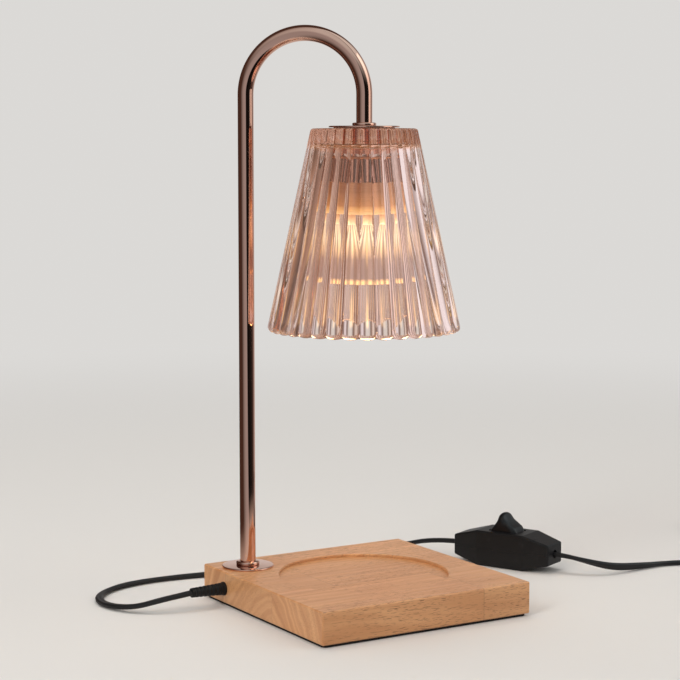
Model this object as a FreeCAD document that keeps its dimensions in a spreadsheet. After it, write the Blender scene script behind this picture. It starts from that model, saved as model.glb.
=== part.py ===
import FreeCAD, Part
import math
import os
import re

import Sketcher

# Candle warmer lamp: a square wooden base, a bent tube that carries a ribbed glass shade over the candle,
# a GU10 heating bulb inside the shade, and a mains lead with a rocker switch and a plug.
# Millimetres, +Z up. The origin is the middle of the base's underside.
# +X and +Y run along the base's edges; the pole stands near the corner on the -X +Y side.

Vector = FreeCAD.Vector
Rotation = FreeCAD.Rotation
Z_AXIS = Vector(0, 0, 1)

SIZES = {
    # Base
    "base_side": (150.0, "side of the square wooden base"),
    "wood_thickness": (20.0, "thickness of the wooden base"),
    "wood_edge": (0.7, "chamfer on the edges of the wooden base"),
    "pad_thickness": (1.6, "thickness of the foam sole"),
    "pad_inset": (1.6, "how far the sole stays inside the base's edge"),
    "pad_corner": (3.0, "corner radius of the sole"),
    "recess_radius": (53.7, "radius of the round candle recess"),
    "recess_depth": (2.0, "depth of the candle recess"),
    "recess_edge": (0.5, "chamfer on the rim of the candle recess"),
    "pocket_radius": (15.0, "radius of the nut pocket under the pole"),
    "pocket_roof": (6.0, "wood left above the nut pocket"),
    "cord_hole_radius": (3.5, "radius of the cord hole in the base's side"),
    "cord_hole_height": (9.4, "height of the cord hole above the wood's underside"),
    "cord_hole_offset": (47.0, "distance of the cord hole from the middle of the base's side"),
    # Pole and its fittings
    "pole_offset": (54.0, "distance of the pole from the base's middle, along X and along Y"),
    "lamp_height": (365.2, "height of the top of the bent tube"),
    "tube_diameter": (10.0, "outer diameter of the tube"),
    "tube_wall": (1.0, "wall of the tube"),
    "tube_foot": (8.0, "height of the tube's threaded foot above the wood's underside"),
    "short_leg": (16.9, "straight tube between the bend and the upper collar"),
    "fit_gap": (0.15, "radial clearance of fittings on the tube"),
    "hole_gap": (0.3, "radial clearance of the tube in the wood"),
    "flange_radius": (16.5, "radius of the flange at the pole's foot"),
    "flange_height": (1.6, "thickness of the flange"),
    "collar_radius": (7.5, "radius of both collars"),
    "lower_collar_height": (2.5, "height of the collar on the flange"),
    "upper_collar_height": (2.0, "height of the collar on the shade plate"),
    "washer_radius": (12.0, "radius of the washer under the wood"),
    "washer_height": (1.2, "thickness of the washer under the wood"),
    "nut_flats": (14.0, "width across flats of the tube's nuts"),
    "nut_height": (3.6, "height of the nut under the wood"),
    # Shade and what clamps it
    "plate_radius": (22.1, "radius of the plate on the shade"),
    "plate_height": (1.2, "thickness of the plate on the shade"),
    "upper_gasket_radius": (19.0, "radius of the gasket under the plate"),
    "upper_gasket_height": (0.5, "thickness of the gasket under the plate"),
    "shade_height": (125.9, "height of the glass shade"),
    "shade_top_radius": (33.05, "radius over the ribs at the shade's top"),
    "shade_rim_radius": (61.1, "radius over the ribs at the shade's rim"),
    "shade_ceiling": (10.2, "thickness of the shade's closed top"),
    "shade_wall": (6.6, "wall of the shade with its ribs, measured level"),
    "shade_hole_gap": (0.5, "radial clearance of the tube in the shade"),
    "rib_count": (36, "ribs round the shade"),
    "rib_depth": (1.5, "how far a rib stands out at the rim"),
    "rib_share": (0.94, "share of the pitch that a rib covers"),
    "rim_round": (2.0, "rounding of the shade's outer edges"),
    "rim_scallop": (1.3, "how far a rib's end hangs below the valleys beside it"),
    "lower_gasket_radius": (13.5, "radius of the gasket under the shade's top"),
    "lower_gasket_height": (1.0, "thickness of the gasket under the shade's top"),
    "shade_nut_radius": (14.7, "radius of the round nut that clamps the shade"),
    "shade_nut_height": (4.8, "height of the round nut"),
    "shade_nut_notches": (8, "grip notches round the nut"),
    # Lampholder
    "cap_gap": (1.6, "space between the round nut and the holder's cap"),
    "cap_radius": (18.0, "outer radius of the holder's cap"),
    "cap_height": (22.0, "height of the holder's cap"),
    "cap_wall": (1.2, "wall of the holder's cap"),
    "thread_gap": (0.1, "radial clearance of what fits over the cap"),
    "tube_in_cap": (7.0, "how far the tube reaches into the cap"),
    "locknut_height": (3.0, "height of the nut inside the cap"),
    "ring_drop": (1.4, "how far the grip ring starts below the cap's top"),
    "ring_radius": (21.5, "outer radius of the grip ring"),
    "ring_height": (14.4, "height of the grip ring"),
    "ring_groove_radius": (0.9, "radius of a groove of the grip ring"),
    "ring_grooves": (36, "grooves round the grip ring"),
    "sleeve_radius": (19.2, "outer radius of the heat sleeve"),
    "sleeve_length": (19.5, "length of the heat sleeve below the grip ring"),
    "ceramic_radius": (13.4, "radius of the ceramic socket"),
    "ceramic_height": (22.6, "height of the ceramic socket"),
    "ceramic_face": (3.0, "thickness of the socket's slotted face"),
    "head_room": (6.2, "height of the groove behind the socket's face"),
    "wire_hole_radius": (2.6, "radius of the socket's wire hole"),
    "screw_radius": (1.5, "radius of the holder's screws"),
    "screw_head_radius": (2.8, "radius of a holder screw's head"),
    "screw_head_height": (1.3, "height of a holder screw's head"),
    "screw_offset": (10.0, "distance of the holder's screws from the axis"),
    "screw_depth": (7.0, "how far the screws go into the ceramic"),
    "spacer_radius": (2.7, "radius of the spacers between cap and socket"),
    "contact_width": (3.6, "width of a socket contact"),
    "contact_length": (4.6, "length of a socket contact"),
    "contact_sheet": (0.6, "thickness of a socket contact"),
    "contact_gap": (0.3, "gap between a contact and a pin's head"),
    # Bulb
    "bulb_drop": (30.3, "distance from the cap's top to the bulb's base"),
    "bulb_gap": (0.3, "gap between the bulb's base and the socket"),
    "bulb_length": (47.5, "length of the bulb without its pins"),
    "bulb_radius": (25.0, "radius of the bulb's front"),
    "bulb_rim": (3.2, "height of the straight rim of the reflector"),
    "bulb_glass": (1.3, "wall of the reflector"),
    "neck_radius": (11.6, "radius of the reflector's neck"),
    "bulb_base_radius": (10.6, "radius of the bulb's ceramic base"),
    "bulb_base_height": (11.5, "height of the bulb's ceramic base"),
    "bulb_base_flat": (8.4, "distance of the base's flats from the axis"),
    "lens_height": (1.6, "thickness of the front lens"),
    "lens_inset": (0.4, "how far the lens sits inside the rim"),
    "pin_spacing": (10.0, "distance between the bulb's pins"),
    "pin_radius": (1.5, "radius of a bulb pin's shank"),
    "pin_length": (6.5, "length of a bulb pin"),
    "pin_head_radius": (2.45, "radius of a bulb pin's head"),
    "pin_head_height": (2.7, "height of a bulb pin's head"),
    "slot_gap": (0.25, "clearance of a shank in the socket's slot"),
    "head_gap": (0.3, "clearance of a head in the socket"),
    "twist_angle": (25.0, "angle between the locked and the released bulb"),
    "slot_overrun": (6.0, "angle that the socket's slots run past the locked pins"),
    "capsule_radius": (4.6, "radius of the halogen capsule"),
    "capsule_length": (24.0, "length of the halogen capsule"),
    # Inline switch, in its own frame: X along the lead, towards the lamp
    "switch_x": (147.0, "X of the switch's middle"),
    "switch_y": (46.7, "Y of the switch's middle"),
    "switch_turn": (114.65, "angle of the switch's long axis"),
    "switch_length": (74.0, "length of the switch"),
    "switch_width": (25.0, "width of the switch at its middle"),
    "switch_end_width": (20.4, "width of the switch at its ends"),
    "switch_height": (24.6, "height of the switch at its middle"),
    "switch_end_height": (14.0, "height of the switch at its ends"),
    "switch_flat": (36.0, "length of the switch's level top"),
    "switch_wall": (2.0, "wall of the switch"),
    "switch_round": (1.4, "rounding of the switch's edges"),
    "seam_gap": (0.1, "gap between the switch's two shells"),
    "rocker_length": (21.0, "length of the rocker where it leaves the cover"),
    "rocker_width": (16.0, "width of the rocker"),
    "rocker_peak": (11.9, "height of the rocker's ridge above the cover"),
    "rocker_end": (1.8, "height of the rocker's ends above the cover"),
    "rocker_ridge": (1.5, "half the width of the rocker's ridge"),
    "rocker_hollow": (16.0, "radius of the rocker's hollow flanks"),
    "rocker_corner": (4.2, "corner radius of the rocker"),
    "opening_corner": (3.0, "corner radius of the cover's opening"),
    "rocker_depth": (9.6, "how far the rocker reaches below the cover's top"),
    "rocker_gap": (0.3, "gap round the rocker"),
    "rocker_tilt": (8.0, "tilt of the rocker at rest"),
    "hinge_depth": (4.2, "depth of the rocker's pin below the cover's top"),
    "hinge_radius": (1.2, "radius of the rocker's pin"),
    "hinge_gap": (0.06, "radial clearance of the rocker on its pin"),
    "hinge_seat": (1.2, "how far the pin sits in the cover's side walls"),
    "bridge_width": (5.0, "width of the contact bridge under the rocker"),
    "bridge_length": (8.0, "length of the contact bridge"),
    "bridge_height": (1.0, "thickness of the contact bridge"),
    "boss_radius": (2.8, "radius of the switch's screw bosses"),
    "boss_along": (23.0, "distance of the screw bosses from the middle, along the lead"),
    "boss_across": (6.8, "distance of the screw bosses from the middle, across the lead"),
    "switch_screw_radius": (1.2, "radius of the switch's screws"),
    "switch_screw_head": (2.2, "radius of the switch's screw heads"),
    "cord_room": (0.2, "radial clearance of the lead in the switch"),
    "clamp_along": (29.5, "distance of a cord clamp from the middle"),
    "clamp_width": (3.6, "width of a cord clamp"),
    "terminal_along": (15.0, "distance of a terminal from the middle"),
    # Lead, bushing and plug
    "cord_diameter": (5.2, "diameter of the mains lead"),
    "inner_cable_diameter": (3.6, "diameter of the wire pair inside the lamp"),
    "cable_drop": (13.4, "distance along X from the pole's axis where the wire pair starts to drop"),
    "bushing_flange": (4.3, "radius of the bushing's flange"),
    "bushing_flange_height": (1.4, "thickness of the bushing's flange"),
    "bushing_inner": (7.6, "length of the bushing inside the wood"),
    "boot_root": (3.9, "radius of a strain relief at its root"),
    "boot_tip": (3.0, "radius of a strain relief at its tip"),
    "boot_length": (22.0, "length of a strain relief"),
    "coil_x": (326.4, "X of the coil's middle"),
    "coil_y": (-27.0, "Y of the coil's middle"),
    "coil_outer": (36.4, "outer radius of the coil"),
    "coil_inner": (20.8, "inner radius of the coil"),
    "coil_height": (7.2, "height of the coil"),
    "coil_lift": (0.6, "height of the coil above the table, the tie's thickness"),
    "tie_width": (8.0, "width of the tie round the coil"),
    "tie_gap": (0.1, "clearance of the tie above and below the coil"),
    "tie_slack": (0.5, "clearance of the tie beside the coil"),
    "plug_x": (360.2, "X of the plug's axis"),
    "plug_y": (67.7, "Y of the plug's front face"),
    "plug_width": (35.3, "width of the plug's face"),
    "plug_height": (13.7, "height of the plug"),
    "plug_length": (36.0, "length of the plug's body"),
    "plug_tail_width": (13.0, "width of the plug's cord end"),
    "plug_square": (8.0, "length of the plug's straight front"),
    "plug_round": (1.8, "rounding of the plug's edges"),
    "plug_pin_radius": (2.0, "radius of a plug pin"),
    "plug_pin_length": (19.0, "length of a plug pin"),
    "plug_pin_spacing": (18.6, "distance between the plug's pins"),
}

# Heights from the table up, worked out from the sizes.
WOOD_TOP = "(pad_thickness + wood_thickness)"
POCKET_CEILING = f"({WOOD_TOP} - pocket_roof)"
FLANGE_TOP = f"({WOOD_TOP} + flange_height)"
REACH = "(pole_offset * sqrt(2))"
BEND_RADIUS = f"({REACH} / 2)"
BEND_CENTRE = f"(lamp_height - tube_diameter / 2 - {BEND_RADIUS})"
COLLAR_TOP = f"({BEND_CENTRE} - short_leg)"
PLATE_TOP = f"({COLLAR_TOP} - upper_collar_height)"
GASKET_TOP = f"({PLATE_TOP} - plate_height)"
SHADE_TOP = f"({GASKET_TOP} - upper_gasket_height)"
SHADE_BOTTOM = f"({SHADE_TOP} - shade_height)"
CEILING = f"({SHADE_TOP} - shade_ceiling)"
NUT_TOP = f"({CEILING} - lower_gasket_height)"
CAP_TOP = f"({NUT_TOP} - shade_nut_height - cap_gap)"
CAP_CEILING = f"({CAP_TOP} - cap_wall)"
TUBE_END = f"({CAP_TOP} - tube_in_cap)"
RING_BOTTOM = f"({CAP_TOP} - ring_drop - ring_height)"
BULB_FACE = f"({CAP_TOP} - bulb_drop)"
SOCKET_FACE = f"({BULB_FACE} + bulb_gap)"
SOCKET_TOP = f"({SOCKET_FACE} + ceramic_height)"
SWITCH_MIDDLE = "(switch_height / 2)"
HINGE_HEIGHT = "(switch_height - hinge_depth)"
TUBE_BORE = "(tube_diameter / 2 + fit_gap)"

ORIGIN = ("0", "0", "0")
TINY = 0.01

# Route of the lead from the bushing, round the back of the base, to the switch.
SWITCH_ROUTE = [
    (-98.4, 47.0, 11.0),
    (-117.0, 49.0, 8.6),
    (-134.0, 59.5, 4.2),
    (-143.5, 82.0, 2.6),
    (-136.0, 107.0, 2.6),
    (-113.0, 123.5, 2.6),
    (-79.0, 128.5, 2.6),
    (-37.0, 121.0, 2.6),
    (8.0, 119.0, 2.6),
    (50.0, 127.5, 2.6),
    (85.0, 138.5, 2.6),
    (108.0, 126.5, 4.2),
    (124.48, 95.78, 12.3),
    (136.16, 70.33, 12.3),
]

# Route of the lead from the switch to the coil.
PLUG_ROUTE = [
    (157.84, 23.07, 12.3),
    (165.4, 6.7, 12.3),
    (177.0, -8.6, 8.8),
    (194.0, -14.2, 4.6),
    (216.0, -12.8, 2.7),
    (243.0, -10.5, 2.6),
    (275.0, -31.5, 2.6),
    (303.3, -54.6, 3.4),
]


def make_sheet(doc):
    """Spreadsheet with one row for each driving size: what it is, and its value under an alias."""
    sheet = doc.addObject("Spreadsheet::Sheet", "Sizes")
    for row, (alias, (value, meaning)) in enumerate(SIZES.items(), start=1):
        sheet.set(f"A{row}", meaning)
        sheet.set(f"B{row}", str(value))
        sheet.setAlias(f"B{row}", alias)
    return sheet


def linked(expression):
    """The expression with each size written as a cell of the sheet."""
    return re.sub(r"[a-z][a-z_]+", lambda word: f"Sizes.{word[0]}" if word[0] in SIZES else word[0], expression)


def size(expression):
    """Value of an expression of sizes, in millimetres or degrees."""
    result = SHEET.evalExpression(linked(expression))
    return float(getattr(result, "Value", result))


def bind(item, path, expression):
    item.setExpression(path, linked(expression))


# Bodies, sketches and features

def new_body(name, place=ORIGIN, rotation=None, compound=False):
    """Body whose own frame stands at place, turned by rotation."""
    body = DOC.addObject("PartDesign::Body", name)
    body.Label = name
    body.AllowCompound = compound
    if rotation:
        body.Placement = FreeCAD.Placement(Vector(), rotation)
    for letter, expression in zip("xyz", place):
        bind(body, f"Placement.Base.{letter}", expression)
    return body


def new_sketch(body, plane="XY_Plane", lift="0"):
    """Sketch on one of the body's origin planes, moved along its normal by lift."""
    sketch = body.newObject("Sketcher::SketchObject", f"{body.Name}_sketch")
    support = next(item for item in body.Origin.OriginFeatures if item.Role == plane)
    sketch.AttachmentSupport = [(support, "")]
    sketch.MapMode = "FlatFace"
    sketch.AttachmentOffset = FreeCAD.Placement(Vector(), Rotation(Vector(0, 1, 0), 0.0))
    bind(sketch, "AttachmentOffset.Base.z", lift)
    return sketch


def hold(sketch, kind, *target, value):
    """Dimension of a sketch, bound to the sizes."""
    index = sketch.addConstraint(Sketcher.Constraint(kind, *target, size(value)))
    name = f"d{index}"
    sketch.renameConstraint(index, name)
    bind(sketch, f"Constraints.{name}", value)


def place_point(sketch, geometry, position, x, y):
    """Hold a point of a sketch at x, y from the sketch's origin."""
    hold(sketch, "DistanceX", -1, 1, geometry, position, value=x)
    hold(sketch, "DistanceY", -1, 1, geometry, position, value=y)


def circle(sketch, radius, x="0", y="0"):
    centre = Vector(size(x), size(y), 0)
    index = sketch.addGeometry(Part.Circle(centre, Z_AXIS, size(radius)))
    hold(sketch, "Radius", index, value=radius)
    place_point(sketch, index, 3, x, y)


def outline(sketch, corners):
    """Closed outline through corners. A corner is (x, y), or (x, y, radius) where an arc leads to the next one.

    A positive radius makes the arc bulge to the right of the way round, a negative one to the left.
    """
    points = [Vector(size(corner[0]), size(corner[1]), 0) for corner in corners]
    edges = []
    for index, corner in enumerate(corners):
        start = points[index]
        end = points[(index + 1) % len(points)]
        if len(corner) == 2:
            edges.append(sketch.addGeometry(Part.LineSegment(start, end)))
            continue
        radius = size(corner[2])
        chord = end - start
        side = Vector(chord.y, -chord.x, 0).normalize() * math.copysign(1, radius)
        rise = abs(radius) - math.sqrt(radius ** 2 - (chord.Length / 2) ** 2)
        crown = (start + end) * 0.5 + side * rise
        edges.append(sketch.addGeometry(Part.Arc(start, crown, end)))
        hold(sketch, "Radius", edges[-1], value=corner[2].lstrip("-"))
    for index, edge in enumerate(edges):
        following = edges[(index + 1) % len(edges)]
        corner = points[(index + 1) % len(points)]
        ends = [end_at(sketch, item, corner) for item in (edge, following)]
        sketch.addConstraint(Sketcher.Constraint("Coincident", edge, ends[0], following, ends[1]))
        expressions = corners[(index + 1) % len(corners)]
        place_point(sketch, following, ends[1], expressions[0], expressions[1])


def end_at(sketch, geometry, point):
    """Number of the end of a line or arc that lies at a point: 1 for its start, 2 for its end."""
    return min((1, 2), key=lambda end: (sketch.getPoint(geometry, end) - point).Length)


def rectangle(sketch, width, depth, x="0", y="0"):
    """Rectangle about x, y."""
    left, right = f"{x} - ({width}) / 2", f"{x} + ({width}) / 2"
    front, back = f"{y} - ({depth}) / 2", f"{y} + ({depth}) / 2"
    outline(sketch, [(left, front), (right, front), (right, back), (left, back)])


def rounded_rectangle(sketch, width, depth, radius):
    """Rectangle about the sketch's origin with round corners."""
    right, back = f"(({width}) / 2)", f"(({depth}) / 2)"
    inner_right, inner_back = f"({right} - {radius})", f"({back} - {radius})"
    outline(sketch, [
        (right, f"-{inner_back}"),
        (right, inner_back, radius),
        (inner_right, back),
        (f"-{inner_right}", back, radius),
        (f"-{right}", inner_back),
        (f"-{right}", f"-{inner_back}", radius),
        (f"-{inner_right}", f"-{back}"),
        (inner_right, f"-{back}", radius),
    ])


def hexagon(sketch, flats):
    """Regular hexagon about the sketch's origin, two of its flats facing along Y."""
    tip = f"(({flats}) / sqrt(3))"
    flat = f"(({flats}) / 2)"
    corners = [(tip, "0"), (f"{tip} / 2", flat), (f"-{tip} / 2", flat)]
    corners += [(f"-{tip}", "0"), (f"-{tip} / 2", f"-{flat}"), (f"{tip} / 2", f"-{flat}")]
    outline(sketch, corners)


def extrude(body, sketch, length, cut=False, both=False, up=None):
    """Pad, or Pocket where cut is true. up says whether it runs along the sketch's normal."""
    before = body.Shape.Volume if cut else 0.0
    feature = body.newObject("PartDesign::Pocket" if cut else "PartDesign::Pad", f"{body.Name}_extrude")
    feature.Profile = sketch
    feature.SideType = "Symmetric" if both else "One side"
    if up is not None:
        feature.Reversed = up if cut else not up
    bind(feature, "Length", length)
    DOC.recompute()
    if cut and body.Shape.Volume > before - TINY:
        raise RuntimeError(f"{feature.Name} removes nothing")
    return feature


def revolve(body, sketch, cut=False):
    """Revolution, or Groove where cut is true, of a sketch about its vertical axis."""
    before = body.Shape.Volume if cut else 0.0
    feature = body.newObject("PartDesign::Groove" if cut else "PartDesign::Revolution", f"{body.Name}_revolve")
    feature.Profile = sketch
    feature.ReferenceAxis = (sketch, ["V_Axis"])
    feature.Angle = 360
    DOC.recompute()
    if cut and body.Shape.Volume > before - TINY:
        raise RuntimeError(f"{feature.Name} removes nothing")
    return feature


def repeat(body, feature, count):
    """Polar pattern of a feature about the body's own Z axis."""
    pattern = body.newObject("PartDesign::PolarPattern", f"{body.Name}_pattern")
    pattern.Originals = [feature]
    pattern.Axis = (next(item for item in body.Origin.OriginFeatures if item.Role == "Z_Axis"), [""])
    pattern.Angle = 360
    bind(pattern, "Occurrences", count)
    body.Tip = pattern
    DOC.recompute()
    return pattern


def soften(body, radius, test, kind="Fillet"):
    """Fillet or Chamfer on the edges of the body's tip that pass the test."""
    tip = body.Tip
    names = [f"Edge{number}" for number, edge in enumerate(tip.Shape.Edges, start=1) if test(edge)]
    if not names:
        raise RuntimeError(f"no edge to soften on {body.Name}")
    feature = body.newObject(f"PartDesign::{kind}", f"{body.Name}_{kind.lower()}")
    feature.Base = (tip, names)
    bind(feature, "Radius" if kind == "Fillet" else "Size", radius)
    DOC.recompute()
    if "Invalid" in feature.State:
        raise RuntimeError(f"{feature.Name} fails on {len(names)} edges")
    return feature


def level(edge, height):
    """Whether an edge lies level at a height of the body's own frame."""
    box = edge.BoundBox
    return abs(box.ZMin - height) < TINY and abs(box.ZMax - height) < TINY


def upright(edge):
    box = edge.BoundBox
    return box.XLength < TINY and box.YLength < TINY


def around(edge, radius):
    """Whether an edge is a circle of a radius."""
    return isinstance(edge.Curve, Part.Circle) and abs(edge.Curve.Radius - radius) < TINY


def ring(name, place, bore, radius, height, rounding=None):
    """Flat ring, or a disc where bore is None, with its outer edges rounded."""
    body = new_body(name, place)
    sketch = new_sketch(body)
    circle(sketch, radius)
    if bore:
        circle(sketch, bore)
    extrude(body, sketch, height)
    if rounding:
        soften(body, rounding, lambda edge: around(edge, size(radius)))
    return body


def turned(name, place, corners, rotation=None):
    """Body of revolution about its own Z axis; the outline's corners are (radius, height)."""
    body = new_body(name, place, rotation)
    sketch = new_sketch(body, "XZ_Plane")
    outline(sketch, corners)
    revolve(body, sketch)
    return body


# Base

def make_wood_base():
    body = new_body("wood_base", ("0", "0", "pad_thickness"))
    block = new_sketch(body)
    rectangle(block, "base_side", "base_side")
    extrude(body, block, "wood_thickness")
    soften(body, "wood_edge", lambda edge: True, "Chamfer")
    recess = new_sketch(body, lift="wood_thickness")
    circle(recess, "recess_radius")
    extrude(body, recess, "recess_depth", cut=True)
    top = size("wood_thickness")
    soften(body, "recess_edge", lambda edge: level(edge, top) and around(edge, size("recess_radius")), "Chamfer")
    pocket = new_sketch(body)
    circle(pocket, "pocket_radius", "-pole_offset", "pole_offset")
    extrude(body, pocket, "wood_thickness - pocket_roof", cut=True, up=True)
    hole = new_sketch(body)
    circle(hole, "tube_diameter / 2 + hole_gap", "-pole_offset", "pole_offset")
    extrude(body, hole, "wood_thickness", cut=True, up=True)
    cord_hole = new_sketch(body, "YZ_Plane", lift="-base_side / 2")
    circle(cord_hole, "cord_hole_radius", "cord_hole_offset", "cord_hole_height")
    extrude(body, cord_hole, "base_side / 2 - pole_offset - pocket_radius / 2", cut=True, up=True)


def make_base_pad():
    body = new_body("base_pad")
    sketch = new_sketch(body)
    rectangle(sketch, "base_side - 2 * pad_inset", "base_side - 2 * pad_inset")
    extrude(body, sketch, "pad_thickness")
    soften(body, "pad_corner", upright)


def pole_place(height):
    return ("-pole_offset", "pole_offset", height)


def make_pole_fittings():
    ring("pole_flange", pole_place(WOOD_TOP), TUBE_BORE, "flange_radius", "flange_height", "flange_height * 0.4")
    ring("lower_collar", pole_place(FLANGE_TOP), TUBE_BORE, "collar_radius", "lower_collar_height",
         "lower_collar_height * 0.3")
    washer = pole_place(f"{POCKET_CEILING} - washer_height")
    ring("tube_washer", washer, TUBE_BORE, "washer_radius", "washer_height")
    nut("tube_nut", pole_place(f"{POCKET_CEILING} - washer_height - nut_height"), "nut_height")


def nut(name, place, height):
    """Hexagon nut on the tube."""
    body = new_body(name, place)
    sketch = new_sketch(body)
    hexagon(sketch, "nut_flats")
    circle(sketch, TUBE_BORE)
    extrude(body, sketch, height)


def make_gooseneck_tube():
    """Tube that stands on the pole's axis, bends through half a turn and comes down over the base's middle."""
    body = new_body("gooseneck_tube", pole_place("0"), Rotation(Z_AXIS, -45))
    foot = "(pad_thickness + tube_foot)"
    path = new_sketch(body, "XZ_Plane")
    low, spring, radius, reach = size(foot), size(BEND_CENTRE), size(BEND_RADIUS), size(REACH)
    pole = path.addGeometry(Part.LineSegment(Vector(0, low, 0), Vector(0, spring, 0)))
    crown = Vector(radius, spring + radius, 0)
    bend = path.addGeometry(Part.Arc(Vector(0, spring, 0), crown, Vector(reach, spring, 0)))
    leg = path.addGeometry(Part.LineSegment(Vector(reach, spring, 0), Vector(reach, size(TUBE_END), 0)))
    bend_ends = [end_at(path, bend, Vector(x, spring, 0)) for x in (0, reach)]
    path.addConstraint(Sketcher.Constraint("Coincident", pole, 2, bend, bend_ends[0]))
    path.addConstraint(Sketcher.Constraint("Coincident", leg, 1, bend, bend_ends[1]))
    place_point(path, pole, 1, "0", foot)
    place_point(path, pole, 2, "0", BEND_CENTRE)
    place_point(path, bend, 3, BEND_RADIUS, BEND_CENTRE)
    hold(path, "DistanceY", -1, 1, leg, 1, value=BEND_CENTRE)
    place_point(path, leg, 2, REACH, TUBE_END)
    section = new_sketch(body, lift=foot)
    circle(section, "tube_diameter / 2")
    circle(section, "tube_diameter / 2 - tube_wall")
    pipe = body.newObject("PartDesign::AdditivePipe", "gooseneck_pipe")
    pipe.Profile = section
    pipe.Spine = (path, ["Edge1", "Edge2", "Edge3"])
    DOC.recompute()


def make_cord_bushing():
    """Moulded bushing in the cord hole, with a tapered strain relief that points away from the base."""
    inside = "cord_hole_radius - thread_gap"
    corners = [
        ("0", "-bushing_inner"),
        (inside, "-bushing_inner"),
        (inside, "0"),
        ("bushing_flange", "0"),
        ("bushing_flange", "bushing_flange_height"),
        ("boot_root", "bushing_flange_height"),
        ("boot_tip", "bushing_flange_height + boot_length"),
        ("0", "bushing_flange_height + boot_length"),
    ]
    place = ("-base_side / 2", "cord_hole_offset", "pad_thickness + cord_hole_height")
    turned("cord_bushing", place, corners, Rotation(Vector(0, 1, 0), -90))


# Shade head

def axis_place(height):
    return ("0", "0", height)


def make_shade_clamp():
    ring("upper_collar", axis_place(PLATE_TOP), TUBE_BORE, "collar_radius", "upper_collar_height",
         "upper_collar_height * 0.4")
    ring("shade_plate", axis_place(GASKET_TOP), TUBE_BORE, "plate_radius", "plate_height", "plate_height * 0.4")
    ring("upper_gasket", axis_place(SHADE_TOP), TUBE_BORE, "upper_gasket_radius", "upper_gasket_height")
    ring("lower_gasket", axis_place(NUT_TOP), TUBE_BORE, "lower_gasket_radius", "lower_gasket_height")
    body = ring("shade_nut", axis_place(f"{NUT_TOP} - shade_nut_height"), TUBE_BORE, "shade_nut_radius",
                "shade_nut_height")
    notch = new_sketch(body)
    circle(notch, "shade_nut_radius * 0.12", "shade_nut_radius")
    cut = extrude(body, notch, "shade_nut_height", cut=True, up=True)
    repeat(body, cut, "shade_nut_notches")


def make_glass_shade():
    """Pressed glass: a tapered wall with a thick closed top, and tapered ribs round its outside.

    One rib is lofted between a wide arc at the rim and a narrow arc at the top, then repeated round the
    axis. The arcs' chords lie a little inside the plain wall, which shows only as the valleys. The rim is
    cut back at each valley, so that every rib ends in a small downward curve.
    """
    body = new_body("glass_shade", axis_place(SHADE_BOTTOM))
    taper = "(shade_top_radius / shade_rim_radius)"
    rim_wall = "(shade_rim_radius - rib_depth)"
    top_wall = f"(shade_top_radius - rib_depth * {taper})"
    slope = "((shade_rim_radius - shade_top_radius) / shade_height)"
    ceiling_radius = f"(shade_top_radius + shade_ceiling * {slope} - shade_wall)"
    hole = "(tube_diameter / 2 + shade_hole_gap)"
    wall = new_sketch(body, "XZ_Plane")
    outline(wall, [
        (rim_wall, "0"),
        (top_wall, "shade_height"),
        (hole, "shade_height"),
        (hole, "shade_height - shade_ceiling"),
        (ceiling_radius, "shade_height - shade_ceiling"),
        ("shade_rim_radius - shade_wall", "0"),
    ])
    revolve(body, wall)
    sections = []
    for radius, depth, height in (("shade_rim_radius", "rib_depth", "0"),
                                  ("shade_top_radius", f"(rib_depth * {taper})", "shade_height")):
        half_width = f"({radius} * sin(180 * rib_share / rib_count))"
        chord = f"({radius} * cos(180 / rib_count) - {depth} * 1.15)"
        sagitta = f"({radius} - {chord})"
        arc = f"(({half_width} ^ 2 + {sagitta} ^ 2) / (2 * {sagitta}))"
        section = new_sketch(body, lift=height)
        outline(section, [(chord, f"-{half_width}", arc), (chord, half_width)])
        sections.append(section)
    rib = body.newObject("PartDesign::AdditiveLoft", "shade_rib")
    rib.Profile = sections[0]
    rib.Sections = sections[1:]
    rib.Ruled = True
    DOC.recompute()
    repeat(body, rib, "rib_count")
    shoulder = new_sketch(body, "XZ_Plane")
    outline(shoulder, [
        ("shade_top_radius - rim_round", "shade_height", "-rim_round * 1.2"),
        ("shade_top_radius + rim_round * 0.1", "shade_height - rim_round"),
        ("shade_top_radius + rim_round * 2", "shade_height - rim_round"),
        ("shade_top_radius + rim_round * 2", "shade_height + rim_round"),
        ("shade_top_radius - rim_round", "shade_height + rim_round"),
    ])
    revolve(body, shoulder, cut=True)
    foot = new_sketch(body, "XZ_Plane")
    outline(foot, [
        ("shade_rim_radius - rim_round", "0"),
        ("shade_rim_radius - rim_round", "-rim_round"),
        ("shade_rim_radius + rim_round * 2", "-rim_round"),
        ("shade_rim_radius + rim_round * 2", "rim_round"),
        ("shade_rim_radius", "rim_round", "-rim_round * 1.2"),
    ])
    revolve(body, foot, cut=True)
    notch = new_sketch(body, "YZ_Plane", lift="shade_rim_radius - 2 * shade_wall")
    bind(notch, "AttachmentOffset.Rotation.Angle", "180 / rib_count")
    half_pitch = "(shade_rim_radius * tan(180 / rib_count))"
    curve = f"(({half_pitch} ^ 2 + rim_scallop ^ 2) / (2 * rim_scallop))"
    outline(notch, [
        (f"-{half_pitch}", "0", f"-{curve}"),
        ("0", "rim_scallop", f"-{curve}"),
        (half_pitch, "0"),
    ])
    valley = extrude(body, notch, "4 * shade_wall", cut=True, up=True)
    repeat(body, valley, "rib_count")


# Lampholder

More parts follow.
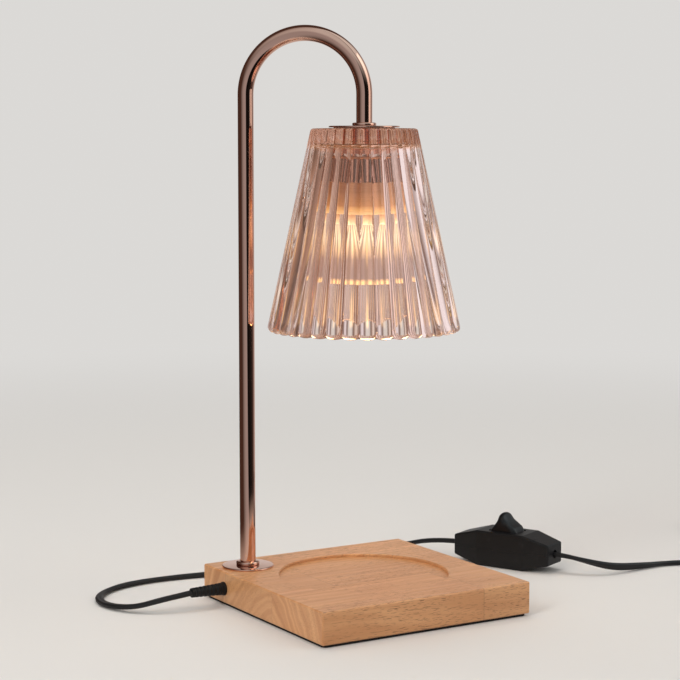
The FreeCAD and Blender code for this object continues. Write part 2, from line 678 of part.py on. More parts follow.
def make_holder_cap():
    inner = "cap_radius - cap_wall"
    body = turned("holder_cap", axis_place(CAP_TOP), [
        (TUBE_BORE, "0"),
        ("cap_radius", "0"),
        ("cap_radius", "-cap_height"),
        (inner, "-cap_height"),
        (inner, "-cap_wall"),
        (TUBE_BORE, "-cap_wall"),
    ])
    soften(body, "cap_wall * 0.6", lambda edge: level(edge, 0) and around(edge, size("cap_radius")))
    holes = new_sketch(body)
    for side in ("", "-"):
        circle(holes, "screw_radius + thread_gap", "0", f"{side}screw_offset")
    extrude(body, holes, "cap_wall", cut=True)


def make_grip_ring():
    bore = "cap_radius + thread_gap"
    body = ring("grip_ring", axis_place(RING_BOTTOM), bore, "ring_radius", "ring_height", "ring_groove_radius * 0.6")
    groove = new_sketch(body)
    circle(groove, "ring_groove_radius", "ring_radius + ring_groove_radius * 0.3")
    cut = extrude(body, groove, "ring_height", cut=True, up=True)
    repeat(body, cut, "ring_grooves")


def make_holder_sleeve():
    """Metal sleeve pushed over the cap's skirt, up to the grip ring."""
    ring("holder_sleeve", axis_place(f"{RING_BOTTOM} - sleeve_length"), "cap_radius + thread_gap",
         "sleeve_radius", "sleeve_length")


def make_holder_body():
    """Ceramic socket: two keyhole slots in its face, and a round groove behind them for the pins' heads."""
    body = ring("holder_body", axis_place(SOCKET_FACE), None, "ceramic_radius", "ceramic_height")
    pin_circle = "(pin_spacing / 2)"
    groove = new_sketch(body, "XZ_Plane")
    near = f"{pin_circle} - pin_head_radius - head_gap"
    far = f"{pin_circle} + pin_head_radius + head_gap"
    outline(groove, [
        (near, "ceramic_face"),
        (far, "ceramic_face"),
        (far, "ceramic_face + head_room"),
        (near, "ceramic_face + head_room"),
    ])
    revolve(body, groove, cut=True)
    slot = new_sketch(body)
    slot_width = "(2 * (pin_radius + slot_gap))"
    arc_slot(slot, pin_circle, slot_width, "-twist_angle", "slot_overrun")
    opened = extrude(body, slot, "ceramic_face", cut=True, up=True)
    repeat(body, opened, "2")
    entry = new_sketch(body)
    for side in ("", "-"):
        circle(entry, "pin_head_radius + head_gap", f"{side}{pin_circle} * cos(-twist_angle)",
               f"{side}{pin_circle} * sin(-twist_angle)")
    extrude(body, entry, "ceramic_face", cut=True, up=True)
    wire_hole = new_sketch(body, lift="ceramic_height")
    circle(wire_hole, "wire_hole_radius")
    extrude(body, wire_hole, "ceramic_height - ceramic_face - head_room - 4", cut=True)
    screws = new_sketch(body, lift="ceramic_height")
    for side in ("", "-"):
        circle(screws, "screw_radius + thread_gap", "0", f"{side}screw_offset")
    extrude(body, screws, "screw_depth + 0.5", cut=True)


def arc_slot(sketch, radius, width, first, last):
    """Slot with rounded ends along an arc about the origin, between two angles."""
    inner, outer = f"({radius} - {width} / 2)", f"({radius} + {width} / 2)"
    cap = f"({width} * 0.52)"
    outline(sketch, [
        (f"{outer} * cos({first})", f"{outer} * sin({first})", outer),
        (f"{outer} * cos({last})", f"{outer} * sin({last})", cap),
        (f"{inner} * cos({last})", f"{inner} * sin({last})", f"-{inner}"),
        (f"{inner} * cos({first})", f"{inner} * sin({first})", cap),
    ])


def make_holder_metal():
    """Contacts over the pins' heads, spacers on the ceramic, the screws and the nut inside the cap."""
    sheet_bottom = f"({BULB_FACE} + pin_length + contact_gap)"
    contacts = new_body("holder_contacts", axis_place(sheet_bottom), compound=True)
    strips = new_sketch(contacts)
    for side in ("", "-"):
        rectangle(strips, "contact_length", "contact_width", x=f"{side}pin_spacing / 2")
    extrude(contacts, strips, "contact_sheet")

    spacers = new_body("holder_spacers", axis_place(SOCKET_TOP), compound=True)
    tubes = new_sketch(spacers)
    for side in ("", "-"):
        circle(tubes, "spacer_radius", "0", f"{side}screw_offset")
        circle(tubes, "screw_radius + thread_gap", "0", f"{side}screw_offset")
    extrude(spacers, tubes, f"{CAP_CEILING} - {SOCKET_TOP}")

    screws = new_body("holder_screws", axis_place(f"{SOCKET_TOP} - screw_depth"), compound=True)
    shanks = new_sketch(screws)
    for side in ("", "-"):
        circle(shanks, "screw_radius", "0", f"{side}screw_offset")
    shank_length = f"{CAP_TOP} - {SOCKET_TOP} + screw_depth"
    extrude(screws, shanks, shank_length)
    heads = new_sketch(screws, lift=shank_length)
    for side in ("", "-"):
        circle(heads, "screw_head_radius", "0", f"{side}screw_offset")
    extrude(screws, heads, "screw_head_height")

    nut("holder_locknut", axis_place(f"{CAP_CEILING} - locknut_height"), "locknut_height")


# Bulb

def make_bulb():
    base = ring("bulb_base", axis_place(f"{BULB_FACE} - bulb_base_height"), None, "bulb_base_radius",
                "bulb_base_height")
    flats = new_sketch(base)
    for side in ("", "-"):
        rectangle(flats, "3 * bulb_base_radius", "bulb_base_radius", y=f"{side}(bulb_base_flat + bulb_base_radius / 2)")
    extrude(base, flats, "bulb_base_height", cut=True, up=True)
    soften(base, "bulb_base_radius * 0.08", lambda edge: level(edge, size("bulb_base_height")))

    pins = new_body("bulb_pins", axis_place(BULB_FACE), compound=True)
    shanks = new_sketch(pins)
    heads = new_sketch(pins, lift="pin_length - pin_head_height")
    for side in ("", "-"):
        circle(shanks, "pin_radius", f"{side}pin_spacing / 2")
        circle(heads, "pin_head_radius", f"{side}pin_spacing / 2")
    extrude(pins, shanks, "pin_length - pin_head_height")
    extrude(pins, heads, "pin_head_height")

    front = "-bulb_length"
    rim = "(bulb_rim - bulb_length)"
    shoulder = "(-bulb_base_height)"
    bowl = "(bulb_length * 0.95)"
    turned("bulb_reflector", axis_place(BULB_FACE), [
        ("neck_radius - bulb_glass", shoulder),
        ("neck_radius - bulb_glass", f"{shoulder} - bulb_glass", "-bulb_length * 0.95"),
        ("bulb_radius - bulb_glass", rim),
        ("bulb_radius - bulb_glass", front),
        ("bulb_radius", front),
        ("bulb_radius", rim, bowl),
        ("neck_radius", shoulder),
    ])
    lens_place = axis_place(f"{BULB_FACE} - bulb_length + lens_inset")
    ring("bulb_lens", lens_place, None, "bulb_radius - bulb_glass - thread_gap", "lens_height")
    capsule_top = f"({shoulder} - 0.2)"
    dome = "(capsule_radius * 1.02)"
    turned("bulb_capsule", axis_place(BULB_FACE), [
        ("0", capsule_top),
        ("0", f"{capsule_top} - capsule_length", dome),
        ("capsule_radius", f"{capsule_top} - capsule_length + capsule_radius"),
        ("capsule_radius", f"{capsule_top} - capsule_radius"),
        ("capsule_radius / 2", capsule_top),
    ])


# Inline switch, in its own frame

def switch_body(name, height="0", compound=False):
    return new_body(name, ("switch_x", "switch_y", height), Rotation(Z_AXIS, size("switch_turn")), compound)


def plan_outline(sketch, margin="0"):
    """Plan of the switch: straight sides at its middle, tapered towards both ends, less a margin."""
    end, flat = f"(switch_length / 2 - {margin})", "(switch_flat / 2)"
    narrow, wide = f"(switch_end_width / 2 - {margin})", f"(switch_width / 2 - {margin})"
    half = [(end, f"-{narrow}"), (end, narrow), (flat, wide)]
    outline(sketch, half + [(f"-{flat}", wide), (f"-{end}", narrow), (f"-{end}", f"-{narrow}"),
                            (f"-{flat}", f"-{wide}"), (flat, f"-{wide}")])


def make_shell(name, upward):
    """One half of the switch's housing, from the seam outwards, with its body's Z axis on the seam."""
    body = switch_body(name, f"{SWITCH_MIDDLE} + {'' if upward else '-'}seam_gap / 2")
    sign = "" if upward else "-"
    depth = "(switch_height / 2 - seam_gap / 2)"
    end_depth = "(switch_end_height / 2 - seam_gap / 2)"
    block = new_sketch(body)
    plan_outline(block)
    extrude(body, block, depth, up=upward)
    slopes = new_sketch(body, "XZ_Plane")
    for side in ("", "-"):
        outline(slopes, [
            (f"{side}switch_flat / 2", f"{sign}{depth}"),
            (f"{side}(switch_length / 2 + 1)", f"{sign}{depth}"),
            (f"{side}(switch_length / 2 + 1)",
             f"{sign}({end_depth} - ({depth} - {end_depth}) / (switch_length / 2 - switch_flat / 2))"),
        ])
    extrude(body, slopes, "switch_width * 1.2", cut=True, both=True)
    soften(body, "switch_round", lambda edge: not level(edge, 0))
    hollow = new_sketch(body)
    rectangle(hollow, "switch_flat", "switch_width - 2 * switch_wall")
    extrude(body, hollow, f"{depth} - switch_wall", cut=True, up=upward)
    ends = new_sketch(body)
    plan_outline(ends, "switch_wall")
    extrude(body, ends, f"{end_depth} - switch_wall", cut=True, up=upward)
    cord = new_sketch(body, "YZ_Plane")
    circle(cord, "cord_diameter / 2 + cord_room")
    extrude(body, cord, "switch_length + 2", cut=True, both=True)
    return body


def add_bosses(body, upward, reach, bore):
    """Two screw bosses inside a shell, from the seam to its roof, with a hole of its own bore."""
    bosses = new_sketch(body)
    holes = new_sketch(body)
    for side, across in (("", "-"), ("-", "")):
        circle(bosses, "boss_radius", f"{side}boss_along", f"{across}boss_across")
        circle(holes, bore, f"{side}boss_along", f"{across}boss_across")
    extrude(body, bosses, reach, up=upward)
    return holes


def make_switch_cover():
    body = make_shell("switch_cover", True)
    holes = add_bosses(body, True, "switch_height / 2 - switch_wall", "switch_screw_radius")
    extrude(body, holes, "switch_end_height / 2 - switch_wall / 2", cut=True, up=True)
    opening = new_sketch(body, lift=SWITCH_MIDDLE)
    rounded_rectangle(opening, f"2 * ({rocker_reach('switch_wall')} + rocker_gap)",
                      "rocker_width + 2 * rocker_gap", "opening_corner")
    extrude(body, opening, "switch_wall + 2", cut=True)
    seats = new_sketch(body, "XZ_Plane")
    circle(seats, "hinge_radius", "0", f"{HINGE_HEIGHT} - {SWITCH_MIDDLE} - seam_gap / 2")
    extrude(body, seats, "switch_width - 2 * switch_wall + 2 * hinge_seat", cut=True, both=True)


def make_switch_base():
    body = make_shell("switch_base", False)
    holes = add_bosses(body, False, "switch_height / 2 - switch_wall", "switch_screw_radius + thread_gap")
    extrude(body, holes, "switch_height / 2", cut=True, up=False)
    sinks = new_sketch(body, lift="-(switch_height / 2 - seam_gap / 2)")
    for side, across in (("", "-"), ("-", "")):
        circle(sinks, "switch_screw_head + thread_gap", f"{side}boss_along", f"{across}boss_across")
    extrude(body, sinks, "switch_height / 2 - switch_end_height / 2 + switch_wall", cut=True, up=True)


def rocker_radius():
    """Radius of the rocker's ends about its pin."""
    return "sqrt((rocker_length / 2) ^ 2 + hinge_depth ^ 2)"


def rocker_reach(depth):
    """Half the rocker's length at a depth below the cover's top."""
    return f"sqrt(({rocker_radius()}) ^ 2 - (hinge_depth - {depth}) ^ 2)"


def make_rocker():
    """Rocker with hollow flanks up to a ridge; its ends are round about the pin, so the gap stays even."""
    frame = FreeCAD.Placement(Vector(), Rotation(Z_AXIS, size("switch_turn")))
    tilt = FreeCAD.Placement(Vector(), Rotation(Vector(0, 1, 0), size("rocker_tilt")))
    rotation = frame.multiply(tilt).Rotation
    place = ("switch_x", "switch_y", HINGE_HEIGHT)
    radius = rocker_radius()
    top, low, peak = "(hinge_depth + rocker_end)", "(rocker_depth - hinge_depth)", "(hinge_depth + rocker_peak)"
    top_reach = f"sqrt(({radius}) ^ 2 - {top} ^ 2)"
    low_reach = f"sqrt(({radius}) ^ 2 - {low} ^ 2)"
    body = new_body("switch_rocker", place, rotation)
    side = new_sketch(body, "XZ_Plane")
    outline(side, [
        (f"-{low_reach}", f"-{low}"),
        (low_reach, f"-{low}", radius),
        (top_reach, top, "-rocker_hollow"),
        ("rocker_ridge", peak, "rocker_ridge * 1.1"),
        ("-rocker_ridge", peak, "-rocker_hollow"),
        (f"-{top_reach}", top, radius),
    ])
    extrude(body, side, "rocker_width", both=True)
    corners = new_sketch(body, lift=f"-{low}")
    rectangle(corners, "rocker_length * 2", "rocker_width * 2")
    rounded_rectangle(corners, f"2 * {radius}", "rocker_width", "rocker_corner")
    extrude(body, corners, f"{low} + {peak}", cut=True, up=True)
    bore = new_sketch(body, "XZ_Plane")
    circle(bore, "hinge_radius + hinge_gap")
    extrude(body, bore, "rocker_width + 2", cut=True, both=True)

    pin_length = "switch_width - 2 * switch_wall + 2 * hinge_seat"
    pin = new_body("rocker_pin", place, Rotation(Z_AXIS, size("switch_turn")))
    end = new_sketch(pin, "XZ_Plane")
    circle(end, "hinge_radius")
    extrude(pin, end, pin_length, both=True)

    bridge = new_body("contact_bridge", place, rotation)
    strip = new_sketch(bridge, lift=f"-{low}")
    rectangle(strip, "bridge_length", "bridge_width")
    extrude(bridge, strip, "bridge_height", up=False)


def make_switch_inside():
    """Cord clamps, terminals and screws."""
    clamps = switch_body("cord_clamps", SWITCH_MIDDLE, compound=True)
    blocks = new_sketch(clamps)
    for side in ("", "-"):
        rectangle(blocks, "clamp_width", "cord_diameter * 2", x=f"{side}clamp_along")
    extrude(clamps, blocks, "cord_diameter * 1.6", both=True)
    saddle = new_sketch(clamps, "YZ_Plane")
    circle(saddle, "cord_diameter / 2 + thread_gap")
    extrude(clamps, saddle, "switch_length", cut=True, both=True)

    floor = f"({SWITCH_MIDDLE} - switch_height / 2 + switch_wall)"
    terminals = switch_body("switch_contacts", floor, compound=True)
    feet = new_sketch(terminals)
    for side in ("", "-"):
        rectangle(feet, "bridge_width", "bridge_width * 1.4", x=f"{side}terminal_along")
    extrude(terminals, feet, "bridge_width")

    screws = switch_body("switch_screws", SWITCH_MIDDLE, compound=True)
    sink = "(switch_end_height / 2 - switch_wall)"
    shanks = new_sketch(screws, lift=f"-{sink}")
    heads = new_sketch(screws, lift=f"-{sink}")
    for side, across in (("", "-"), ("-", "")):
        circle(shanks, "switch_screw_radius", f"{side}boss_along", f"{across}boss_across")
        circle(heads, "switch_screw_head", f"{side}boss_along", f"{across}boss_across")
    extrude(screws, shanks, f"{sink} + switch_end_height / 2 - switch_wall / 2")
    extrude(screws, heads, "switch_screw_radius", up=False)


# Lead and plug

def rounded_path(points, name):
    """Edges of straight runs joined by tangent arcs, each arc as large as its two runs allow."""
    points = [Vector(*point) for point in points]
    edges = []
    last = points[0]
    radii = []
    for before, corner, after in zip(points, points[1:], points[2:]):
        back, ahead = before - corner, after - corner
        reach = 0.45 * min(back.Length, ahead.Length)
        turn = math.pi - back.getAngle(ahead)
        radius = reach / math.tan(turn / 2)
        radii.append(round(radius, 1))
        back.normalize()
        ahead.normalize()
        start, end = corner + back * reach, corner + ahead * reach
        inward = (back + ahead).normalize()
        crown = corner + inward * (radius / math.cos(turn / 2) - radius)
        edges.append(Part.LineSegment(last, start).toShape())
        edges.append(Part.Arc(start, crown, end).toShape())
        last = end
    edges.append(Part.LineSegment(last, points[-1]).toShape())
    print(name, "bend radii", radii)
    return edges


def tube_along(name, edges, diameter):
    """Round solid along a path of edges, checked against its section times its length."""
    path = Part.Wire(edges)
    start = edges[0].Vertexes[0].Point
    heading = edges[0].tangentAt(edges[0].FirstParameter)
    section = Part.Wire([Part.makeCircle(diameter / 2, start, heading)])
    tube = path.makePipeShell([section], True, True)
    expected = math.pi * diameter ** 2 / 4 * path.Length
    if abs(tube.Volume / expected - 1) > 0.01:
        raise RuntimeError(f"{name} has volume {tube.Volume:.0f}, not {expected:.0f}")
    print(name, "length", round(path.Length, 1))
    feature = DOC.addObject("Part::Feature", name)
    feature.Label = name
    feature.Shape = tube
    return feature


def make_inner_cable():
    """Wire pair from the bushing, level to the nut pocket, under the tube's foot, up the tube and to the socket."""
    pole = Vector(-size("pole_offset"), size("pole_offset"), 0)
    hole_height = size("pad_thickness + cord_hole_height")
    inlet = Vector(-size("base_side / 2 - bushing_inner"), size("cord_hole_offset"), hole_height)
    pocket = Vector(pole.x - size("cable_drop"), inlet.y, hole_height)
    level_run = [inlet] if inlet.distanceToPoint(pocket) > TINY else []
    diameter = size("inner_cable_diameter")
    low = size("pad_thickness") + diameter * 0.7
    towards = Vector(pole.x - pocket.x, pole.y - pocket.y, 0)
    dip = Vector(pocket.x, pocket.y, low) + towards * 0.45
    turn = Vector(pole.x, pole.y, low)
    rise = Vector(pole.x, pole.y, low + towards.Length * 0.55)
    edges = rounded_path(level_run + [pocket, dip, turn, rise], "inner_cable")
    spring, radius = size(BEND_CENTRE), size(BEND_RADIUS)
    foot = Vector(pole.x, pole.y, spring)
    far = Vector(0, 0, spring)
    crown = (foot + far) * 0.5 + Vector(0, 0, radius)
    edges[-1] = Part.LineSegment(edges[-1].Vertexes[0].Point, foot).toShape()
    edges.append(Part.Arc(foot, crown, far).toShape())
    edges.append(Part.LineSegment(far, Vector(0, 0, size(SOCKET_TOP) - diameter)).toShape())
    tube_along("inner_cable", edges, diameter)


def make_lead():
    diameter = size("cord_diameter")
    tube_along("cord_to_switch", rounded_path(SWITCH_ROUTE, "cord_to_switch"), diameter)
    tube_along("cord_to_plug", rounded_path(PLUG_ROUTE, "cord_to_plug"), diameter)

    coil_place = ("coil_x", "coil_y", "coil_lift")
    body = ring("cord_coil", coil_place, "coil_inner", "coil_outer", "coil_height", "cord_diameter * 0.4")
    soften(body, "cord_diameter * 0.4", lambda edge: around(edge, size("coil_inner")))

    tie = new_body("cord_tie", ("coil_x", "coil_y", "0"))
    band = new_sketch(tie, "XZ_Plane")
    middle = "((coil_outer + coil_inner) / 2)"
    half = "((coil_outer - coil_inner) / 2 + tie_slack)"
    for growth in ("0", "coil_lift - tie_gap"):
        rectangle(band, f"2 * ({half} + {growth})", f"coil_height + 2 * tie_gap + 2 * ({growth})",
                  x=middle, y="(coil_lift + coil_height / 2)")
    extrude(tie, band, "tie_width", both=True)


def plug_body(name, y, compound=False):
    """Body whose Z axis points out of the plug's face, along +Y."""
    return new_body(name, ("plug_x", y, "plug_height / 2"), Rotation(Vector(1, 0, 0), -90), compound)


def make_plug():
    """Flat two-pin plug that lies on the table: a wide face, waisted sides and a tapered strain relief."""
    body = new_body("plug_body", ("plug_x", "plug_y", "plug_height / 2"))
    plan = new_sketch(body)
    wide, narrow = "(plug_width / 2)", "(plug_tail_width / 2)"
    waist = "(plug_length * 1.1)"
    outline(plan, [
        (f"-{wide}", "0"),
        (f"-{wide}", "-plug_square", f"-{waist}"),
        (f"-{narrow}", "-plug_length"),
        (narrow, "-plug_length", f"-{waist}"),
        (wide, "-plug_square"),
        (wide, "0"),
    ])
    extrude(body, plan, "plug_height", both=True)
    soften(body, "plug_round", lambda edge: not upright(edge))

    pins = plug_body("plug_pins", "plug_y", compound=True)
    rods = new_sketch(pins)
    for side in ("", "-"):
        circle(rods, "plug_pin_radius", f"{side}plug_pin_spacing / 2")
    extrude(pins, rods, "plug_pin_length")
    tip = size("plug_pin_length")
    soften(pins, "plug_pin_radius * 0.5", lambda edge: level(edge, tip))

    boot = plug_body("plug_boot", "plug_y - plug_length - boot_length")
    taper = new_sketch(boot, "XZ_Plane")
    outline(taper, [("0", "0"), ("boot_tip", "0"), ("boot_root", "boot_length"), ("0", "boot_length")])
    revolve(boot, taper)

    lead = plug_body("plug_lead", "coil_y + cord_diameter * 2.4")
    section = new_sketch(lead)
    circle(section, "cord_diameter / 2")
    extrude(lead, section, "plug_y - plug_length - boot_length - coil_y - cord_diameter * 2.4")


def check_document():
    """Stop if any object of the document failed, or any sub-part is empty or not valid."""
    for item in DOC.Objects:
        if any(word in ("Invalid", "Error") for word in item.State):
            raise RuntimeError(f"{item.Name} is {item.State}")
    parts = [item for item in DOC.Objects if item.TypeId in ("PartDesign::Body", "Part::Feature")]
    for part in parts:
        if part.Shape.isNull() or not part.Shape.isValid():
            raise RuntimeError(f"{part.Label} has no valid shape")
    return parts


def export(parts):
    os.makedirs("parts", exist_ok=True)
    for part in parts:
        part.Shape.exportStep(f"parts/{part.Label}.step")
        print(part.Label, len(part.Shape.Solids), round(part.Shape.Volume, 1))


DOC = FreeCAD.newDocument("candle_warmer_lamp")
SHEET = make_sheet(DOC)
DOC.recompute()
make_wood_base()
make_base_pad()
make_pole_fittings()
make_gooseneck_tube()
make_cord_bushing()
make_shade_clamp()
make_glass_shade()
make_holder_cap()
make_grip_ring()
make_holder_sleeve()
make_holder_body()
make_holder_metal()
make_bulb()
make_switch_cover()
make_switch_base()
make_rocker()
make_switch_inside()
make_inner_cable()
make_lead()
make_plug()
DOC.recompute()
export(check_document())
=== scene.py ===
import math

import bmesh
import bpy
import numpy as np
from bpy.props import FloatProperty, FloatVectorProperty, IntProperty, PointerProperty
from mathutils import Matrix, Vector


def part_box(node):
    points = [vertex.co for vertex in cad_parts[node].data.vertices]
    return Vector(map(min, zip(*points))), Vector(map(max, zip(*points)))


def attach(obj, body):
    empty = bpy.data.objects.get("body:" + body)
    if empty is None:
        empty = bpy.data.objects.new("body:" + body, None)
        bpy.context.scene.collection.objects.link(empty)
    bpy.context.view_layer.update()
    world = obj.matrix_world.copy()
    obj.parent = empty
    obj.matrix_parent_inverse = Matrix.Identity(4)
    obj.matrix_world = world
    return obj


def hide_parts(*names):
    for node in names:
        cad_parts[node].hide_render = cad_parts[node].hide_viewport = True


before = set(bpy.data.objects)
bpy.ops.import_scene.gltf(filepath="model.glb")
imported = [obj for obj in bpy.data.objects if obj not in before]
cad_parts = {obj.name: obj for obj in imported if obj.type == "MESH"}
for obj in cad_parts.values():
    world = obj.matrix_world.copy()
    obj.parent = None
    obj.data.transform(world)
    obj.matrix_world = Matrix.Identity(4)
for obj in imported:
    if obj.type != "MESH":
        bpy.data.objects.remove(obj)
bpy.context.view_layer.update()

bl_info = {
    "name": "Candle Warmer Lamp",
    "version": (1, 0, 0),
    "blender": (4, 5, 0),
    "location": "View3D > Sidebar > Lamp",
    "description": "Base, bent pole, ribbed glass shade, bulb, switch and lead of a candle warmer lamp",
    "category": "Object",
}

MM = 0.001
TURN = 2 * math.pi


# Places read from the frame

def low(node, axis=2):
    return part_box(node)[0][axis]


def high(node, axis=2):
    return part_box(node)[1][axis]


def middle(node):
    lower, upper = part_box(node)
    return np.array((lower + upper) / 2)


POLE = middle("pole_flange")[:2]
TUBE_RADIUS = 5 * MM
TUBE_WALL = 1 * MM
POLE_REACH = float(np.hypot(*POLE))
BEND_RADIUS = POLE_REACH / 2
BEND_HEIGHT = high("gooseneck_tube") - TUBE_RADIUS - BEND_RADIUS
FIT_GAP = 0.15 * MM
BULB_FACETS = 24


# Forms: surfaces worked out as whole arrays

def rounded(corners, steps=5, closed=False):
    """Outline through corners (x, y, radius), each with a radius cut off by an arc.

    The arc touches both sides of its corner. Its centre lies on the corner's bisector at radius / sin(half
    the angle), and its points run between the two touching points at equal angles. No arc takes more than
    half of its shorter side.
    """
    points = np.array([corner[:2] for corner in corners], float)
    outline = []
    last = len(corners) - 1
    for number, corner in enumerate(corners):
        here = points[number]
        radius = corner[2] if len(corner) > 2 else 0
        if not radius or (not closed and number in (0, last)):
            outline.append(here[None])
            continue
        back = points[number - 1] - here
        ahead = points[(number + 1) % len(points)] - here
        shorter = min(np.hypot(*back), np.hypot(*ahead))
        back, ahead = back / np.hypot(*back), ahead / np.hypot(*ahead)
        half = math.acos(np.clip(back @ ahead, -1, 1)) / 2
        reach = min(radius / math.tan(half), shorter / 2)
        radius = reach * math.tan(half)
        bisector = (back + ahead) / np.hypot(*(back + ahead))
        centre = here + bisector * radius / math.sin(half)
        start, end = here + back * reach - centre, here + ahead * reach - centre
        first = math.atan2(start[1], start[0])
        sweep = (math.atan2(end[1], end[0]) - first + math.pi) % TURN - math.pi
        angles = first + sweep * np.linspace(0, 1, steps + 1)
        outline.append(centre + radius * np.stack([np.cos(angles), np.sin(angles)], -1))
    return np.vstack(outline)


def subdivided(outline, longest, closed=False):
    """The same outline with its long straight sides divided into equal parts no longer than longest."""
    following = np.roll(outline, -1, axis=0)
    sides = len(outline) if closed else len(outline) - 1
    parts = []
    for start, end in zip(outline[:sides], following[:sides]):
        count = max(1, int(np.ceil(np.hypot(*(end - start)) / longest)))
        parts.append(start + (end - start) * np.arange(count)[:, None] / count)
    if not closed:
        parts.append(outline[-1:])
    return np.vstack(parts)


def turned(profile, centre=(0, 0, 0), axis=(0, 0, 1), segments=96):
    """Surface of revolution: each profile point (radius, height) goes round the axis through centre.

    Point = centre + height * axis + radius * (cos(angle) * one side + sin(angle) * the other side).
    """
    axis = np.array(axis, float)
    side = np.cross((0, 1, 0) if abs(axis[2]) > 0.5 else (0, 0, 1), axis)
    angles = np.linspace(0, TURN, segments, endpoint=False)[:, None]
    spokes = np.cos(angles) * side + np.sin(angles) * np.cross(axis, side)
    return np.array(centre) + profile[:, 1][:, None, None] * axis + profile[:, 0][:, None, None] * spokes


def closed_outline(corners, longest, steps=5):
    """Closed outline through corners (x, y, radius), with no side longer than longest."""
    return subdivided(rounded(corners, steps, closed=True), longest, closed=True)


def grooved(profile, count, valley, samples=16):
    """Surface of revolution about the shade's axis, with the same groove or rib repeated round it.

    valley(share, radius, height) gives how far a point moves inwards and upwards, where share runs from
    -1 to 1 across one rib.
    """
    share = np.linspace(-1, 1, samples, endpoint=False)
    angles = ((share / 2 + np.arange(count)[:, None]) * TURN / count).ravel()
    share = np.tile(share, count)
    radius, height = profile[:, :1], profile[:, 1:]
    inwards, upwards = valley(share, radius, height)
    radius, height = radius - inwards, height + upwards
    return np.stack([radius * np.cos(angles), radius * np.sin(angles), height + 0 * angles], -1)


def directions(path):
    """Unit tangents of a path: differences between the neighbours of each point."""
    tangent = np.gradient(path, axis=0)
    return tangent / np.linalg.norm(tangent, axis=1, keepdims=True)


def carried(path, section, side):
    """A section carried along a path: point = path + section x * side + section y * (side x tangent)."""
    tangent = directions(path)
    side = side - tangent * (side * tangent).sum(1, keepdims=True)
    side = side / np.linalg.norm(side, axis=1, keepdims=True)
    up = np.cross(side, tangent)
    return path[:, None] + section[:, :1] * side[:, None] + section[:, 1:] * up[:, None]


def circle(radius, count=64):
    """Points at equal angles round the middle."""
    angles = np.linspace(0, TURN, count, endpoint=False)
    return radius * np.stack([np.cos(angles), np.sin(angles)], -1)


def outward(profile):
    """How much each point of a closed profile faces away from the axis: 1 for a wall, 0 for level or inwards.

    The tangent is the difference between a point's neighbours, and its upward share is the normal's outward
    share.
    """
    tangent = np.roll(profile, -1, axis=0) - np.roll(profile, 1, axis=0)
    facing = tangent[:, 1:] / np.linalg.norm(tangent, axis=1, keepdims=True)
    steepest = facing[np.argmax(profile[:, 0])]
    return np.clip(facing / steepest, 0, 1)


def smooth(value, start, end):
    """0 before start, 1 after end, and 3 t^2 - 2 t^3 between them."""
    t = np.clip((value - start) / (end - start), 0, 1)
    return t * t * (3 - 2 * t)


class Form:
    """Vertices and faces of one piece, gathered grid by grid."""

    def __init__(self):
        self.points = []
        self.faces = []
        self.uvs = []
        self.count = 0

    def grid(self, points, along=False, caps=(False, False)):
        """Adds a grid of points, rows along the form and columns round it.

        A face joins rows i, i + 1 and columns j, j + 1. Each row closes to a ring, and with along the last
        row joins the first. A capped end gets a fan to the mean of its row. The map is (column / columns,
        row / rows).
        """
        rows, columns = points.shape[:2]
        rings = self.count + np.arange(rows * columns).reshape(rows, columns)
        index = np.hstack([rings, rings[:, :1]])
        if along:
            index = np.vstack([index, index[:1]])
        quads = np.stack([index[:-1, :-1], index[:-1, 1:], index[1:, 1:], index[1:, :-1]], -1).reshape(-1, 4)
        self.faces += quads.tolist()
        self.points.append(points.reshape(-1, 3))
        self.count += rows * columns
        across, down = np.meshgrid(np.arange(columns) / columns, np.arange(rows) / max(rows - 1, 1))
        self.uvs.append(np.stack([across, down], -1).reshape(-1, 2))
        for row, wanted in ((0, caps[0]), (-1, caps[1])):
            if wanted:
                ring = rings[row]
                fan = np.stack([ring, np.roll(ring, -1), np.full(columns, self.count)], -1)
                self.faces += fan.tolist()
                self.points.append(points[row].mean(0, keepdims=True))
                self.uvs.append(np.array([[0.5, float(row != 0)]]))
                self.count += 1
        return self

    def item(self, name, finish, sharp=40):
        """Makes the mesh and its object, faces turned outwards and edges above an angle kept sharp."""
        mesh = bpy.data.meshes.new(name)
        mesh.from_pydata(np.vstack(self.points).tolist(), [], self.faces)
        layer = mesh.uv_layers.new(name="along")
        loops = np.empty(len(mesh.loops), int)
        mesh.loops.foreach_get("vertex_index", loops)
        layer.data.foreach_set("uv", np.vstack(self.uvs)[loops].astype(np.float32).ravel())
        shell = bmesh.new()
        shell.from_mesh(mesh)
        bmesh.ops.recalc_face_normals(shell, faces=shell.faces)
        shell.to_mesh(mesh)
        shell.free()
        mesh.shade_smooth()
        mesh.set_sharp_from_angle(angle=math.radians(sharp))
        mesh.materials.append(finish)
        item = bpy.data.objects.new(name, mesh)
        bpy.context.scene.collection.objects.link(item)
        return item

    def piece(self, name, finish, slot, body="lamp", replaces=(), sharp=40):
        """Makes the object, and lets it ride and stand for its CAD nodes."""
        item = self.item(name, finish, sharp)
        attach(item, body)
        if replaces:
            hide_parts(*replaces)
        return item


def finish_nodes(finish, *names):
    """Gives CAD nodes a finish in place of the one that they came with."""
    for name in names:
        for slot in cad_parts[name].material_slots:
            slot.material = finish


# Shader maths

